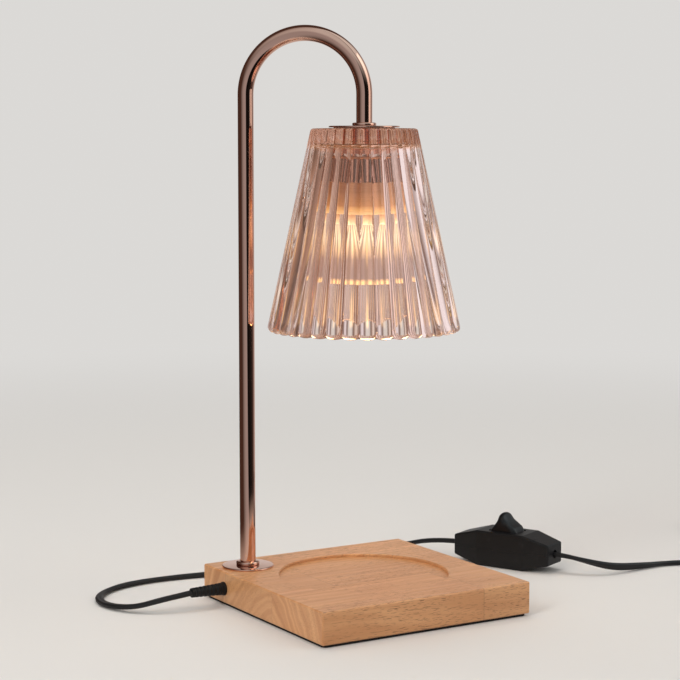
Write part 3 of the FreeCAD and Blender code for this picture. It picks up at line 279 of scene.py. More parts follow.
class Wire:
    """One output of a node. Python's operators on it add Math nodes, or Vector Math nodes for vectors."""

    def __init__(self, paint, socket):
        self.paint = paint
        self.socket = socket

    def maths(self, operation, *values):
        """An operation on this wire and, for most operations, further values."""
        kind = "ShaderNodeMath" if self.socket.type == "VALUE" else "ShaderNodeVectorMath"
        output = "Value" if operation in ("LENGTH", "DOT_PRODUCT") else 0
        return self.paint.node(kind, {"operation": operation}, dict(enumerate((self, *values))), output)

    def __add__(self, other):
        return self.maths("ADD", other)

    def __sub__(self, other):
        return self.maths("SUBTRACT", other)

    def __rsub__(self, other):
        return self.maths("MULTIPLY_ADD", -1.0, other)

    def __mul__(self, other):
        return self.maths("MULTIPLY", other)

    def __truediv__(self, other):
        return self.maths("DIVIDE", other)

    __radd__ = __add__
    __rmul__ = __mul__

    def either(self, other):
        """The greater of two values."""
        return self.maths("MAXIMUM", other)

    def part(self, letter):
        """One coordinate of a vector."""
        split = self.paint.node("ShaderNodeSeparateXYZ", inputs={0: self})
        return Wire(self.paint, split.socket.node.outputs[letter])

    def ranged(self, start, end, first=0.0, last=1.0):
        """Value mapped smoothly from start..end to first..last."""
        limits = {"Value": self, "From Min": start, "From Max": end, "To Min": first, "To Max": last}
        return self.paint.node("ShaderNodeMapRange", {"interpolation_type": "SMOOTHSTEP"}, limits)

    def window(self, start, full, falling, end):
        """1 between full and falling, and smoothly down to 0 at start and at end."""
        return self.ranged(start, full) * self.ranged(falling, end, 1.0, 0.0)


class Wiring:
    """A node tree to which nodes are added, with their settings and links."""

    def __init__(self, tree):
        self.tree = tree

    def feed(self, socket, value):
        """Links a wire to a socket, or sets the socket to a number or a colour."""
        if isinstance(value, Wire):
            self.tree.links.new(value.socket, socket)
        elif socket.type == "RGBA":
            socket.default_value = (*value, 1) if len(value) == 3 else value
        elif socket.type == "VECTOR" and isinstance(value, (int, float)):
            socket.default_value = (value,) * 3
        else:
            socket.default_value = value

    def node(self, kind, settings=None, inputs=None, output=0):
        """A node of a kind, with its settings, then its sockets, by name or number. Gives one output."""
        node = self.tree.nodes.new(kind)
        for name, value in (settings or {}).items():
            if name == "stops":
                self.set_stops(node.color_ramp, value)
            else:
                setattr(node, name, value)
        for key, value in (inputs or {}).items():
            self.feed(node.inputs[key], value)
        return Wire(self, node.outputs[output])

    @staticmethod
    def set_stops(ramp, stops):
        """Gives a colour ramp its positions and colours."""
        while len(ramp.elements) < len(stops):
            ramp.elements.new(0.5)
        for element, (position, colour) in zip(ramp.elements, stops):
            element.position = position
            element.color = (*colour, 1)

    def ramp(self, value, stops):
        return self.node("ShaderNodeValToRGB", {"stops": stops}, {"Fac": value})

    def blend(self, first, second, share):
        """Colour between two colours, by a share."""
        return self.node("ShaderNodeMix", {"data_type": "RGBA"}, {"Factor": share, "A": first, "B": second},
                         output="Result")

    def mixed(self, share, first, second):
        """Shader between two shaders, by a share."""
        return self.node("ShaderNodeMixShader", inputs={0: share, 1: first, 2: second})

    def ray(self, kind):
        """1 for rays of a kind, else 0."""
        return self.node("ShaderNodeLightPath", output=f"Is {kind} Ray")

    def azimuth(self, direction, heading):
        """Share of a turn from the heading to a direction: 0.25 at left, 0.5 behind, 0.75 at right."""
        ahead = direction.maths("DOT_PRODUCT", (math.sin(heading), math.cos(heading), 0))
        right = direction.maths("DOT_PRODUCT", (math.cos(heading), -math.sin(heading), 0))
        return right.maths("ARCTAN2", ahead * -1.0) / TURN + 0.5


class Paint(Wiring):
    """A material and its Principled shader, whose named sockets are set to constants."""

    def __init__(self, name, constants):
        self.material = bpy.data.materials.new(name)
        self.material.use_nodes = True
        super().__init__(self.material.node_tree)
        self.shader = self.tree.nodes["Principled BSDF"]
        self.output = self.tree.nodes["Material Output"]
        for socket, value in constants.items():
            self.feed(self.shader.inputs[socket], value)

    def place(self, scale=(1, 1, 1)):
        """Object coordinates, scaled."""
        spot = self.node("ShaderNodeTexCoord", output="Object")
        return self.node("ShaderNodeMapping", inputs={"Vector": spot, "Scale": scale})

    def along(self):
        """The piece's own map."""
        return self.node("ShaderNodeTexCoord", output="UV")

    def rise(self, bottom, top):
        """Height as a share of the way from bottom to top."""
        return (self.place().part("Z") - bottom) / (top - bottom)

    def noise(self, spot, scale, detail=2.0, roughness=0.5):
        return self.node("ShaderNodeTexNoise", inputs={
            "Vector": spot, "Scale": scale, "Detail": detail, "Roughness": roughness})

    def cloud(self, scale, detail):
        """Soft noise all over the piece."""
        return self.noise(self.place(), scale, detail)

    def cells(self, scale):
        """Round cells all over the piece: the distance from the middle of each."""
        return self.node("ShaderNodeTexVoronoi", {"feature": "F1"}, {"Vector": self.place(), "Scale": scale},
                         output="Distance")

    def bump(self, height, distance, strength=1.0):
        return self.node("ShaderNodeBump", inputs={
            "Height": height, "Distance": distance, "Strength": strength})

    def covered(self, share, shader):
        """The material's shader gives way to another one, by a share."""
        own = Wire(self, self.shader.outputs["BSDF"])
        self.feed(self.output.inputs["Surface"], self.mixed(share, own, shader))
        return self.material

    def clear_to_lamps(self, tint):
        """Light from the lamps passes straight through, with a tint."""
        passing = self.node("ShaderNodeBsdfTransparent", inputs={"Color": tint})
        return self.covered(self.ray("Shadow"), passing)

    def set(self, **sockets):
        """Feeds wires to the shader, with each socket's name written with underscores."""
        for name, value in sockets.items():
            self.feed(self.shader.inputs[name.replace("_", " ")], value)
        return self.material


# Finishes

CERAMIC = (0.80, 0.77, 0.71), (0.90, 0.88, 0.84)


def tinted(colour, *factors, lift=0.0):
    """A colour multiplied by one factor, or by one for each of its parts, and lifted by a number, up to 1."""
    return tuple(np.minimum(np.array(colour) * factors + lift, 1))


def rose_gold(name, colour):
    """Polished plating: a faint cloudiness in its gloss, as from wiping."""
    paint = Paint(name, {"Base Color": colour, "Metallic": 1.0})
    return paint.set(Roughness=paint.cloud(60, 3).ranged(0.35, 0.7, 0.05, 0.08))


def satin_copper(colour, glow, strength, edge):
    """Plating on spun metal, less polished: fine rings round its axis show in its gloss.

    The bulb's warm light is painted on it as a glow, bright at its lower edge and fading over the height that
    it reaches.
    """
    reach = 14 * MM
    paint = Paint("satin_copper", {"Metallic": 1.0, "Emission Strength": strength})
    rings = paint.noise(paint.place(scale=(20, 20, 3000)), 1.0)
    # painted glow: the bulb's light on the metal, strongest at the sleeve's lower edge
    lit = paint.ramp(paint.rise(edge, edge + reach), [
        (0.0, tinted(glow, 0.55, 0.62, 0.7)), (0.18, (0.45, 0.265, 0.09)), (0.38, (0.17, 0.08, 0.023)),
        (1.0, (0.03, 0.013, 0.005))])
    return paint.set(Base_Color=paint.blend(tinted(colour, 0.86, 0.80, 0.76), colour, rings.ranged(0.3, 0.7)),
                     Emission_Color=lit, Roughness=rings.ranged(0.3, 0.7, 0.3, 0.42))


def knurled_copper(colour, grooves):
    """Plating on a ring with upright grooves, with shade painted into them so they are darker than the lands
    between them.
    """
    painted_groove_shade = (0.12, 0.07, 0.055)
    paint = Paint("knurled_copper", {"Metallic": 1.0})
    phase = paint.along().part("X") * (grooves * TURN)
    groove = phase.maths("COSINE").ranged(0.0, 0.6)
    # painted shade: the grooves are darkened towards a dark brown
    return paint.set(Base_Color=paint.blend(colour, painted_groove_shade, groove * 0.8),
                     Roughness=paint.cloud(200, 3).ranged(0.3, 0.7, 0.12, 0.2) + groove * 0.3)


def plain_metal(name, colour, roughness):
    """Bare or plated metal with fine uneven gloss and tint."""
    paint = Paint(name, {"Metallic": 1.0})
    speckle = paint.cloud(900, 2)
    return paint.set(Base_Color=paint.blend(tinted(colour, 0.82), colour, speckle.ranged(0.3, 0.6)),
                     Roughness=speckle.ranged(0.3, 0.7, roughness, roughness + 0.12))


def nickel(name):
    """Smooth nickel plating on the pins."""
    return plain_metal(name, (0.66, 0.64, 0.60), 0.16)


def moulded_plastic(name, colour, roughness=0.42):
    """Satin moulded plastic: a fine spark-eroded grain and faint scuffs."""
    paint = Paint(name, {"Specular IOR Level": 0.3})
    grain = paint.cloud(2600, 1)
    scuff = paint.noise(paint.place(), 90, detail=4, roughness=0.7).ranged(0.55, 0.75)
    return paint.set(Base_Color=paint.blend(colour, tinted(colour, 1.7, lift=0.004), scuff),
                     Roughness=scuff.ranged(0, 1, roughness, roughness + 0.1) + grain * 0.05,
                     Normal=paint.bump(grain, 0.04 * MM, 0.35))


def soft_foam(name, colour):
    """Matt closed-cell foam with small pits."""
    paint = Paint(name, {"Roughness": 0.92, "Specular IOR Level": 0.2})
    cells = paint.cells(1400)
    return paint.set(Base_Color=paint.blend(colour, tinted(colour, 1.8, lift=0.006), cells.ranged(0.2, 0.8)),
                     Normal=paint.bump(cells, 0.15 * MM, 0.6))


def glazed_ceramic():
    """White ceramic under a thin clear glaze."""
    paint = Paint("white_ceramic", {"Roughness": 0.22, "Coat Weight": 0.3})
    return paint.set(Base_Color=paint.blend(*CERAMIC, paint.cloud(140, 3)))


def silicone(name, colour, roughness):
    """Milky rubber that lets some light into itself."""
    depth = 0.6 * MM
    paint = Paint(name, {"Subsurface Weight": 0.25, "Subsurface Radius": (depth, depth, depth)})
    cloud = paint.cloud(300, 2)
    return paint.set(Base_Color=paint.blend(tinted(colour, 0.9), colour, cloud),
                     Roughness=cloud.ranged(0.3, 0.7, roughness, roughness + 0.12))


def clear_glass(name, tint):
    """Clear glass that lets light from lamps pass straight through."""
    paint = Paint(name, {"Base Color": tint, "Roughness": 0.0, "IOR": 1.5, "Transmission Weight": 1.0})
    return paint.clear_to_lamps(tint)


def pressed_glass(tint, glow, strength, ribs, rim, bulb, solid):
    """Clear tinted glass with faint upright draw marks.

    Its tint is deeper where it is solid at the top, between the two heights of solid. A faint warm glow is
    painted all over it, stronger just under the solid top, and the bulb's light is painted as glints down the
    crest of every rib: at the bulb's own level, between the heights of bulb, and above the rim, where it
    fades upwards.
    """
    paint = Paint("rose_tinted_glass", {"Roughness": 0.0, "IOR": 1.5, "Transmission Weight": 1.0,
                                        "Emission Strength": strength})
    height = paint.place().part("Z")
    marks = paint.noise(paint.place(scale=(1, 1, 0.2)), 120)
    colour = paint.blend(tint, tinted(tint, 0.72, 0.43, 0.30), height.ranged(*solid))
    phase = paint.along().part("X") * (ribs * TURN)
    # painted glints: the bulb's light along each rib's crest, broken by the draw marks
    crest = phase.maths("COSINE").ranged(-0.88, -0.995) * marks.ranged(0.35, 0.6, 0.25, 1.0)
    above_rim = height.window(rim + 6 * MM, rim + 9 * MM, rim + 12 * MM, rim + 36 * MM)
    beside_bulb = height.window(bulb[0] + 10 * MM, bulb[0] + 24 * MM, bulb[1] - 6 * MM, bulb[1] + 3 * MM)
    # painted glow: faint warm light all over the glass, stronger just under the solid top
    glow_under_top = height.window(solid[0] - 1 * MM, solid[0] + 1 * MM, solid[0] + 1 * MM, solid[0] + 3 * MM)
    faint = paint.blend((0.011, 0.006, 0.004), (0.050, 0.021, 0.007), glow_under_top)
    lit = paint.blend(faint, tinted(glow, 0.30, 0.28, 0.23), crest * above_rim.either(beside_bulb))
    paint.set(Base_Color=colour, Normal=paint.bump(marks, 0.05 * MM, 0.5), Emission_Color=lit)
    return paint.clear_to_lamps(tint)


def jacket(name, colour):
    """PVC jacket of a flat twin lead: satin, with faint length-wise drawing marks."""
    paint = Paint(name, {"Specular IOR Level": 0.35})
    marks = paint.noise(paint.along() * (40, 300, 1), 1.5)
    return paint.set(Base_Color=paint.blend(colour, tinted(colour, 1.6, lift=0.003), marks),
                     Roughness=marks.ranged(0.3, 0.7, 0.4, 0.52),
                     Normal=paint.bump(paint.cloud(1500, 1), 0.03 * MM, 0.3))


def stave_wood(colour):
    """Edge-glued light hardwood with its grain along X.

    Staves lie side by side across Y, and each is joined end to end from two blocks. Every block has its own
    tint and its own heart, a line along X at a random place below the block. Rings of growth and broader
    bands lie round the heart at even steps of radius, which a noise stretched along X makes wavy. Fibres are
    a finer noise stretched the same way, and pores are short dark dashes in drifting patches.
    """
    first_seam, stave_width = -15 * MM, 60.5 * MM
    first_joint, joint_step, joint_width = -30 * MM, 70 * MM, 0.35 * MM
    heart_spread, heart_depth = (0, 0.11, 0.03), (0, 0, -0.035)
    ring_pitch, ring_wave = 5.2 * MM, 16 * MM
    light, deep = tinted(colour, 1.14), tinted(colour, 0.78, 0.62, 0.48)
    fibre_brown, reddish, pore_brown, glue_brown = (
        (0.40, 0.19, 0.08), (0.50, 0.25, 0.11), (0.16, 0.07, 0.03), (0.22, 0.11, 0.05))

    paint = Paint("stave_wood", {"Coat Weight": 0.2, "Coat Roughness": 0.28})
    spot = paint.place()
    across = (spot.part("Y") - first_seam) / stave_width
    stave = across.maths("FLOOR")
    from_joint = spot.part("X") - first_joint + stave * joint_step
    block = stave * 2 + from_joint.maths("GREATER_THAN", 0)
    chance = paint.node("ShaderNodeTexWhiteNoise", {"noise_dimensions": "1D"}, {"W": block + 0.5},
                        output="Color")
    own = spot + chance * 3.0

    wave = paint.noise(own * (5, 26, 26), 1.0, detail=3)
    from_heart = (spot - (chance - 0.5) * heart_spread - heart_depth) * (0, 1, 1)
    radius = from_heart.maths("LENGTH") + wave * ring_wave
    ring = (radius * (TURN / ring_pitch)).maths("SINE").ranged(-0.5, 1.0)
    banded = paint.node("ShaderNodeCombineXYZ", inputs={
        "X": own.part("X") * 6, "Y": radius * 130, "Z": block * 3.1})
    band = paint.noise(banded, 1.0, detail=4, roughness=0.6)
    fibre = paint.noise(own * (22, 1000, 1000), 1.0, detail=3, roughness=0.6)
    dashes = paint.noise(own * (230, 2400, 2400), 1.0, detail=1, roughness=0.4)
    patches = paint.noise(own * (14, 40, 40), 1.0).ranged(0.40, 0.60)
    pores = dashes.ranged(0.59, 0.67) * (0.15 + 0.85 * patches)
    seam = (across - stave).ranged(0.0, 0.006, 1.0, 0.0)
    joint = seam.either(from_joint.maths("ABSOLUTE").ranged(0.0, joint_width, 1.0, 0.0))

    body = paint.blend(deep, light, band.ranged(0.28, 0.66))
    for other, share in (
        (deep, ring * 0.38),
        (fibre_brown, fibre.ranged(0.48, 0.72) * 0.25),
        (reddish, chance.part("X") * 0.4),
        (pore_brown, pores * 0.72),
        (glue_brown, joint * 0.6),
    ):
        body = paint.blend(body, other, share)
    relief = fibre * 0.35 - pores * 0.7 - joint * 0.5
    return paint.set(Base_Color=body, Roughness=fibre.ranged(0.3, 0.7, 0.34, 0.48) + pores * 0.25,
                     Normal=paint.bump(relief, 0.05 * MM, 0.4))


def lit_reflector(colour, bottom, top, strength):
    """Pressed glass with a mirror coat that lets warm light out behind, and a thin warm line along its rim.

    The light is uneven round it: it sinks and rises smoothly once for each of its facets.
    """
    pale, yellow, front = (0.78, 0.68, 0.46), (0.54, 0.39, 0.23), (0.10, 0.09, 0.10)
    paint = Paint("lit_reflector", {"Metallic": 0.4, "Base Color": (0.62, 0.53, 0.47),
                                    "Emission Strength": strength})
    glow = paint.ramp(paint.rise(bottom, top), [
        (0.0, colour), (0.05, colour), (0.10, front), (0.42, front), (0.58, yellow), (0.76, pale),
        (1.0, pale)])
    spot = paint.place()
    turn = spot.part("Y").maths("ARCTAN2", spot.part("X"))
    facet = (turn * BULB_FACETS).maths("SINE").ranged(-0.6, 0.6)
    return paint.set(Emission_Color=paint.blend(glow, (0, 0, 0), facet * 0.7),
                     Roughness=paint.cells(260).ranged(0.2, 0.8, 0.08, 0.2))


def lit_lens(colour, rim, strength):
    """Front glass of the bulb with a grain of small bumps, lit from behind and brightest at its middle."""
    paint = Paint("lit_lens", {"Transmission Weight": 0.6, "IOR": 1.5, "Base Color": (0.97, 0.95, 0.92),
                               "Emission Strength": strength})
    from_middle = (paint.place() * (1, 1, 0)).maths("LENGTH") / rim
    bumps = paint.cells(420)
    lit = paint.ramp(from_middle, [
        (0.0, (1.0, 0.93, 0.78)), (0.35, (1.0, 0.80, 0.50)), (1.0, tinted(colour, 0.7, 0.6, 0.5))])
    return paint.set(Emission_Color=paint.blend(lit, (0.5, 0.3, 0.14), bumps.ranged(0.3, 0.7) * 0.5),
                     Roughness=bumps.ranged(0.2, 0.8, 0.1, 0.25), Normal=paint.bump(bumps, 0.2 * MM, 0.6))


def lit_ceramic(colour, bottom, top, strength):
    """Glazed ceramic with the light of the bulb behind it painted on as a glow: warm at its lower end and
    fading upwards.
    """
    paint = Paint("lit_ceramic", {"Roughness": 0.25, "Emission Strength": strength})
    lit = paint.ramp(paint.rise(bottom, top), [
        # painted glow: the bulb's light on the ceramic, fading upwards
        (0.0, tinted(colour, 1, 1.15, 1.4)), (0.5, (0.35, 0.12, 0.03)), (1.0, (0, 0, 0))])
    return paint.set(Base_Color=paint.blend(*CERAMIC, paint.cloud(140, 3)), Emission_Color=lit)


def glowing(name, colour, strength):
    """Hot wire, a little uneven in its glow."""
    paint = Paint(name, {"Base Color": colour, "Emission Strength": strength, "Roughness": 0.4})
    return paint.set(Emission_Color=paint.blend(tinted(colour, 0.9), colour, paint.cloud(500, 1)))


# Settings that a user would change

def colour_setting(name, description, default):
    return FloatVectorProperty(name=name, description=description, subtype="COLOR", size=3, min=0, max=1,
                               default=default)


def length_setting(name, description, least, most, default):
    """A length, with its limits and its default in millimetres."""
    return FloatProperty(name=name, description=description, unit="LENGTH", min=least * MM, max=most * MM,
                         default=default * MM)


class LampFinishes(bpy.types.PropertyGroup):
    metal: colour_setting("Metal", "Colour of the plated tube and fittings", (0.72, 0.43, 0.33))
    wood: colour_setting("Wood", "Main colour of the wooden base", (0.63, 0.33, 0.15))
    plastic: colour_setting("Plastic", "Colour of the switch, the lead and the plug", (0.007, 0.007, 0.0075))
    glass: colour_setting("Glass", "Tint of the shade's glass", (0.95, 0.83, 0.77))
    glow: colour_setting("Glow", "Colour of the bulb's light", (1.0, 0.62, 0.26))
    glow_strength: FloatProperty(name="Glow strength", description="How bright the bulb is, 0 when it is off",
                                 min=0, max=10, default=1.5)


class LampShade(bpy.types.PropertyGroup):
    ribs: IntProperty(name="Ribs", description="Ribs round the shade", min=12, max=72, default=36)
    rib_depth: length_setting("Rib depth", "How far a rib stands out at the rim", 0.5, 3, 2.3)
    scallop: length_setting("Scallop", "How far a rib's end hangs below the valleys beside it", 0, 3, 0.9)
    top_radius: length_setting("Top radius", "Radius over the ribs at the shade's top", 20, 50, 33.05)
    wall: length_setting("Wall", "Wall of the glass with its ribs, measured level", 3, 10, 6.6)
    ceiling: length_setting("Ceiling", "Thickness of the closed top", 3, 20, 10.2)


class LampSwitch(bpy.types.PropertyGroup):
    rocker_length: length_setting("Rocker length", "Length of the rocker at the cover", 15, 25, 21)
    rocker_width: length_setting("Rocker width", "Width of the rocker", 10, 18, 16)
    rocker_peak: length_setting("Ridge height", "Height of the rocker's ridge above the cover", 3, 15, 12.6)
    rocker_hollow: length_setting("Flank hollow", "How far the rocker's flanks sink in", 0, 3, 0.9)


class LampLead(bpy.types.PropertyGroup):
    width: length_setting("Width", "Width of the flat lead", 3, 8, 5.2)
    thickness: length_setting("Thickness", "Thickness of the flat lead", 2, 5, 3.2)


# Stage

class LAMP_OT_stage(bpy.types.Operator):
    """Pale floor that fades into a pale backdrop, soft light from the sides and above, and the camera"""
    bl_idname = "lamp.stage"
    bl_label = "Stage"

    camera_place = (-627.1 * MM, -1002.5 * MM, 295.9 * MM)
    camera_heading = math.radians(31.301)
    camera_pitch = math.radians(6.089)
    lens = 100.64
    pale = (0.71, 0.695, 0.675)
    floor_radius = 4.0
    floor_drop = 0.05 * MM
    clear_floor = (0.45, 1.5)
    mirrored_floor = (0.10, 0.32)
    lamp_middle = (0, 0, 0.17)

    # The studio's sides, by azimuth from the camera's heading: what metal reflects level with the lamp and
    # from above, and what shows through glass.
    warm_dark = (0.075, 0.045, 0.035)
    rosy = (0.40, 0.22, 0.15)
    brown = (0.15, 0.08, 0.06)
    light_rose = (0.85, 0.72, 0.65)
    lilac = (0.95, 0.90, 0.96)
    black = (0.004, 0.003, 0.003)
    studio_round = [
        (0.0, pale), (0.03, pale), (0.06, warm_dark), (0.31, warm_dark), (0.36, (0.24, 0.25, 0.26)),
        (0.41, (0.40, 0.42, 0.45)), (0.505, (0.45, 0.48, 0.53)), (0.525, black), (0.69, (0.02, 0.02, 0.02)),
        (0.77, (0.07, 0.05, 0.045)), (0.83, (0.30, 0.29, 0.30)), (0.95, pale), (1.0, pale)]
    studio_above = [
        (0.0, warm_dark), (0.24, warm_dark), (0.32, (0.45, 0.46, 0.47)), (0.45, (0.66, 0.76, 0.80)),
        (0.59, (0.62, 0.74, 0.78)), (0.62, (0.22, 0.20, 0.20)), (0.65, (0.80, 0.95, 1.0)),
        (0.82, (0.80, 0.95, 1.0)), (0.9, warm_dark), (1.0, warm_dark)]
    studio_through = [
        (0.0, pale), (0.012, pale), (0.026, brown), (0.045, light_rose), (0.065, brown), (0.09, rosy),
        (0.13, warm_dark), (0.17, rosy), (0.22, brown), (0.27, rosy), (0.32, brown), (0.38, rosy),
        (0.42, warm_dark), (0.46, light_rose), (0.53, light_rose), (0.57, warm_dark), (0.64, brown),
        (0.69, lilac), (0.80, lilac), (0.84, brown), (0.875, lilac), (0.91, lilac), (0.935, brown),
        (0.955, lilac), (0.974, brown), (0.988, pale), (1.0, pale)]

    def execute(self, context):
        data = bpy.data.cameras.new("camera")
        data.lens = self.lens
        data.sensor_width = 36
        data.clip_start, data.clip_end = 0.05, 50
        camera = bpy.data.objects.new("camera", data)
        camera.location = self.camera_place
        camera.rotation_euler = (math.pi / 2 - self.camera_pitch, 0, -self.camera_heading)
        context.scene.collection.objects.link(camera)
        context.scene.camera = camera
        context.scene.view_settings.view_transform = "Standard"
        self.make_floor(context)
        self.make_world(context)
        self.make_lamps(context)
        return {"FINISHED"}

    def make_floor(self, context):
        """Round floor: radius grows evenly with the row, a little under the lamp's own level."""
        radius = np.linspace(0, self.floor_radius, 24)[1:]
        rows = turned(np.stack([radius, 0 * radius - self.floor_drop], -1))
        floor = Form().grid(rows, caps=(True, False)).item("floor", self.floor_finish())

    def floor_finish(self):
        """Matt and pale, and far from the lamp the backdrop's own even colour, so that no edge shows.

        Metal and glass see the studio's dim and pale sides there.
        """
        paint = Paint("pale_floor", {"Base Color": self.pale, "Roughness": 0.85, "Specular IOR Level": 0.15})
        spot = paint.place()
        distance = spot.maths("LENGTH")
        through = paint.ray("Transmission")
        mirrored = paint.ray("Glossy").either(through)
        share = distance.ranged(*self.clear_floor) * paint.ray("Camera")
        share = share + distance.ranged(*self.mirrored_floor) * mirrored
        azimuth = paint.azimuth(spot, self.camera_heading)
        studio = paint.blend(paint.ramp(azimuth, self.studio_round), paint.ramp(azimuth, self.studio_through),
                             through)
        glow = paint.node("ShaderNodeEmission", inputs={"Color": paint.blend(self.pale, studio, mirrored)})
        return paint.covered(share, glow)

    def make_world(self, context):
        """Even light. The camera sees a pale backdrop; metal and glass see it with the studio round it."""
        world = bpy.data.worlds.new("studio")
        world.use_nodes = True
        context.scene.world = world
        sky = Wiring(world.node_tree)
        direction = sky.node("ShaderNodeTexCoord", output="Generated")
        azimuth = sky.azimuth(direction, self.camera_heading)
        through = sky.ray("Transmission")
        studio = sky.blend(sky.ramp(azimuth, self.studio_round), sky.ramp(azimuth, self.studio_above),
                           direction.part("Z").ranged(0.15, 0.6))
        studio = sky.blend(studio, sky.ramp(azimuth, self.studio_through), through)
        light = sky.node("ShaderNodeBackground", inputs={"Color": (1.0, 0.99, 0.975), "Strength": 0.5})
        backdrop = sky.node("ShaderNodeBackground", inputs={"Color": self.pale})
        mirrored = sky.node("ShaderNodeBackground", inputs={"Color": studio})
        seen = sky.mixed(sky.ray("Glossy").either(through), light, mirrored)
        output = world.node_tree.nodes["World Output"]
        sky.feed(output.inputs["Surface"], sky.mixed(sky.ray("Camera"), seen, backdrop))

    def make_lamps(self, context):
        """Large soft lamps: name, place, size, power and whether gloss shows them. Glass doesn't show them.

        Each one faces the lamp's middle.
        """
        target = Vector(self.lamp_middle)
        for name, place, width, height, power, mirrored in (
            ("key", (-1.9, -0.7, 1.3), 0.7, 1.6, 24, False),
            ("fill", (1.8, -1.4, 1.1), 1.6, 2.4, 13, True),
            ("top", (0.1, 0.5, 2.1), 1.2, 1.2, 14, False),
        ):
            data = bpy.data.lights.new(name, "AREA")
            data.shape = "RECTANGLE"
            data.size, data.size_y = width, height
            data.energy = power
            data.color = (1.0, 0.97, 0.93)
            item = bpy.data.objects.new(name, data)
            item.visible_glossy = mirrored
            item.visible_transmission = False
            item.location = place
            item.rotation_euler = (target - Vector(place)).to_track_quat("-Z", "Y").to_euler()
            context.scene.collection.objects.link(item)


# Base

class LAMP_OT_base(bpy.types.Operator):
    """Wooden base of glued staves on its foam sole"""
    bl_idname = "lamp.base"
    bl_label = "Base"

    def execute(self, context):
        finish_nodes(stave_wood(context.scene.lamp_finishes.wood), "wood_base")
        finish_nodes(soft_foam("black_foam_sole", (0.012, 0.012, 0.012)), "base_pad")
        return {"FINISHED"}


# Pole and its fittings

def tube_line():
    """Middle line of the tube: up the pole, round half a turn, and down into the holder's cap."""
    into_cap = 7 * MM
    rises, bends, falls = 8, 72, 6
    foot, end = low("gooseneck_tube"), high("holder_cap") - into_cap
    turn = np.linspace(0, math.pi, bends + 1)
    reach = np.concatenate([
        np.zeros(rises),
        BEND_RADIUS * (1 - np.cos(turn)),
        np.full(falls, 2 * BEND_RADIUS),
    ])
    height = np.concatenate([
        np.linspace(foot, BEND_HEIGHT, rises + 1)[:-1],
        BEND_HEIGHT + BEND_RADIUS * np.sin(turn),
        np.linspace(BEND_HEIGHT, end, falls + 1)[1:],
    ])
    across = 1 - reach / POLE_REACH
    return np.stack([POLE[0] * across, POLE[1] * across, height], -1)


def ring_like(node, edge, crown=0.0):
    """Ring on the tube with a node's own width and height, its outer edges rounded.

    Its top falls by crown towards the rim.
    """
    centre = middle(node)
    radius = (high(node, 0) - low(node, 0)) / 2
    bore = TUBE_RADIUS + FIT_GAP
    profile = closed_outline([
        (bore, low(node)),
        (radius, low(node), edge / 2),
        (radius, high(node) - crown, edge),
        (bore, high(node)),
    ], 2 * MM)
    return turned(profile, (centre[0], centre[1], 0))


class LAMP_OT_pole(bpy.types.Operator):
    """Bent tube with its flange, its two collars, the plate on the shade and the wires inside it"""
    bl_idname = "lamp.pole"
    bl_label = "Pole"

    def execute(self, context):
        metal = rose_gold("rose_gold_tube", context.scene.lamp_finishes.metal)
        line = tube_line()
        side = np.array([POLE[1], -POLE[0], 0]) / POLE_REACH
        outer = carried(line, circle(TUBE_RADIUS), side)
        inner = carried(line, circle(TUBE_RADIUS - TUBE_WALL), side)[::-1]
        Form().grid(np.vstack([outer, inner]), along=True).piece(
            "bent_tube", metal, "rose_gold", replaces=["gooseneck_tube"], sharp=50)
        for node, edge, crown in (
            ("pole_flange", 0.5 * MM, 0.45 * MM),
            ("lower_collar", 1.0 * MM, 0.35 * MM),
            ("upper_collar", 0.8 * MM, 0.3 * MM),
            ("shade_plate", 0.45 * MM, 0.2 * MM),
        ):
            Form().grid(ring_like(node, edge, crown), along=True).piece(
                f"turned_{node}", metal, "rose_gold", replaces=[node], sharp=50)
        finish_nodes(silicone("wire_sleeve", (0.72, 0.70, 0.66), 0.45), "inner_cable")
        return {"FINISHED"}


# Shade

def shade_profile(settings):
    """Section of the glass over its ribs: outside, rim, inside, closed top and hole, with rounded corners."""
    bottom, top = low("glass_shade"), high("glass_shade")
    rim = high("glass_shade", 0)
    slope = (rim - settings.top_radius) / (top - bottom)
    ceiling = top - settings.ceiling
    inside = settings.top_radius + settings.ceiling * slope - settings.wall
    hole = TUBE_RADIUS + 0.5 * MM
    return closed_outline([
        (hole, top, 0.3 * MM),
        (hole, ceiling, 0.5 * MM),
        (inside, ceiling, 4 * MM),
        (rim - settings.wall, bottom, 2.4 * MM),
        (rim, bottom, 2.6 * MM),
        (settings.top_radius, top, 2.2 * MM),
    ], 4 * MM, steps=7)


class LAMP_OT_shade(bpy.types.Operator):
    """Pressed glass shade: a thick closed top, tapered ribs outside and a scalloped rim"""
    bl_idname = "lamp.shade"
    bl_label = "Shade"

    def execute(self, context):
        settings = context.scene.lamp_shade
        scalloped = 7 * MM
        profile = shade_profile(settings)
        rim = high("glass_shade", 0)
        bottom = low("glass_shade")
        rib_weight = outward(profile)

        def valley(share, radius, height):
            """Depth is the square of the share, times the rib's depth, which shrinks with the radius.

            Near the rim the valley also rises, on the whole wall, by the scallop times the same square.
            """
            depth = settings.rib_depth * radius / rim * rib_weight
            rise = settings.scallop * (1 - smooth(height, bottom, bottom + scalloped))
            return depth * share ** 2, rise * share ** 2

        finishes = context.scene.lamp_finishes
        ceiling = high("glass_shade") - settings.ceiling
        # the glass gets a painted warm glow and painted glints of the bulb's light along its ribs
        glass = pressed_glass(finishes.glass, finishes.glow, finishes.glow_strength, settings.ribs,
                              rim=bottom, bulb=(low("bulb_reflector"), high("bulb_reflector")),
                              solid=(ceiling - 2 * MM, ceiling + 2 * MM))
        Form().grid(grooved(profile, settings.ribs, valley), along=True).piece(
            "ribbed_glass", glass, "shade_glass", replaces=["glass_shade"], sharp=46)
        finish_nodes(silicone("clear_silicone", (0.62, 0.60, 0.57), 0.35), "upper_gasket", "lower_gasket")
        return {"FINISHED"}


# Lampholder

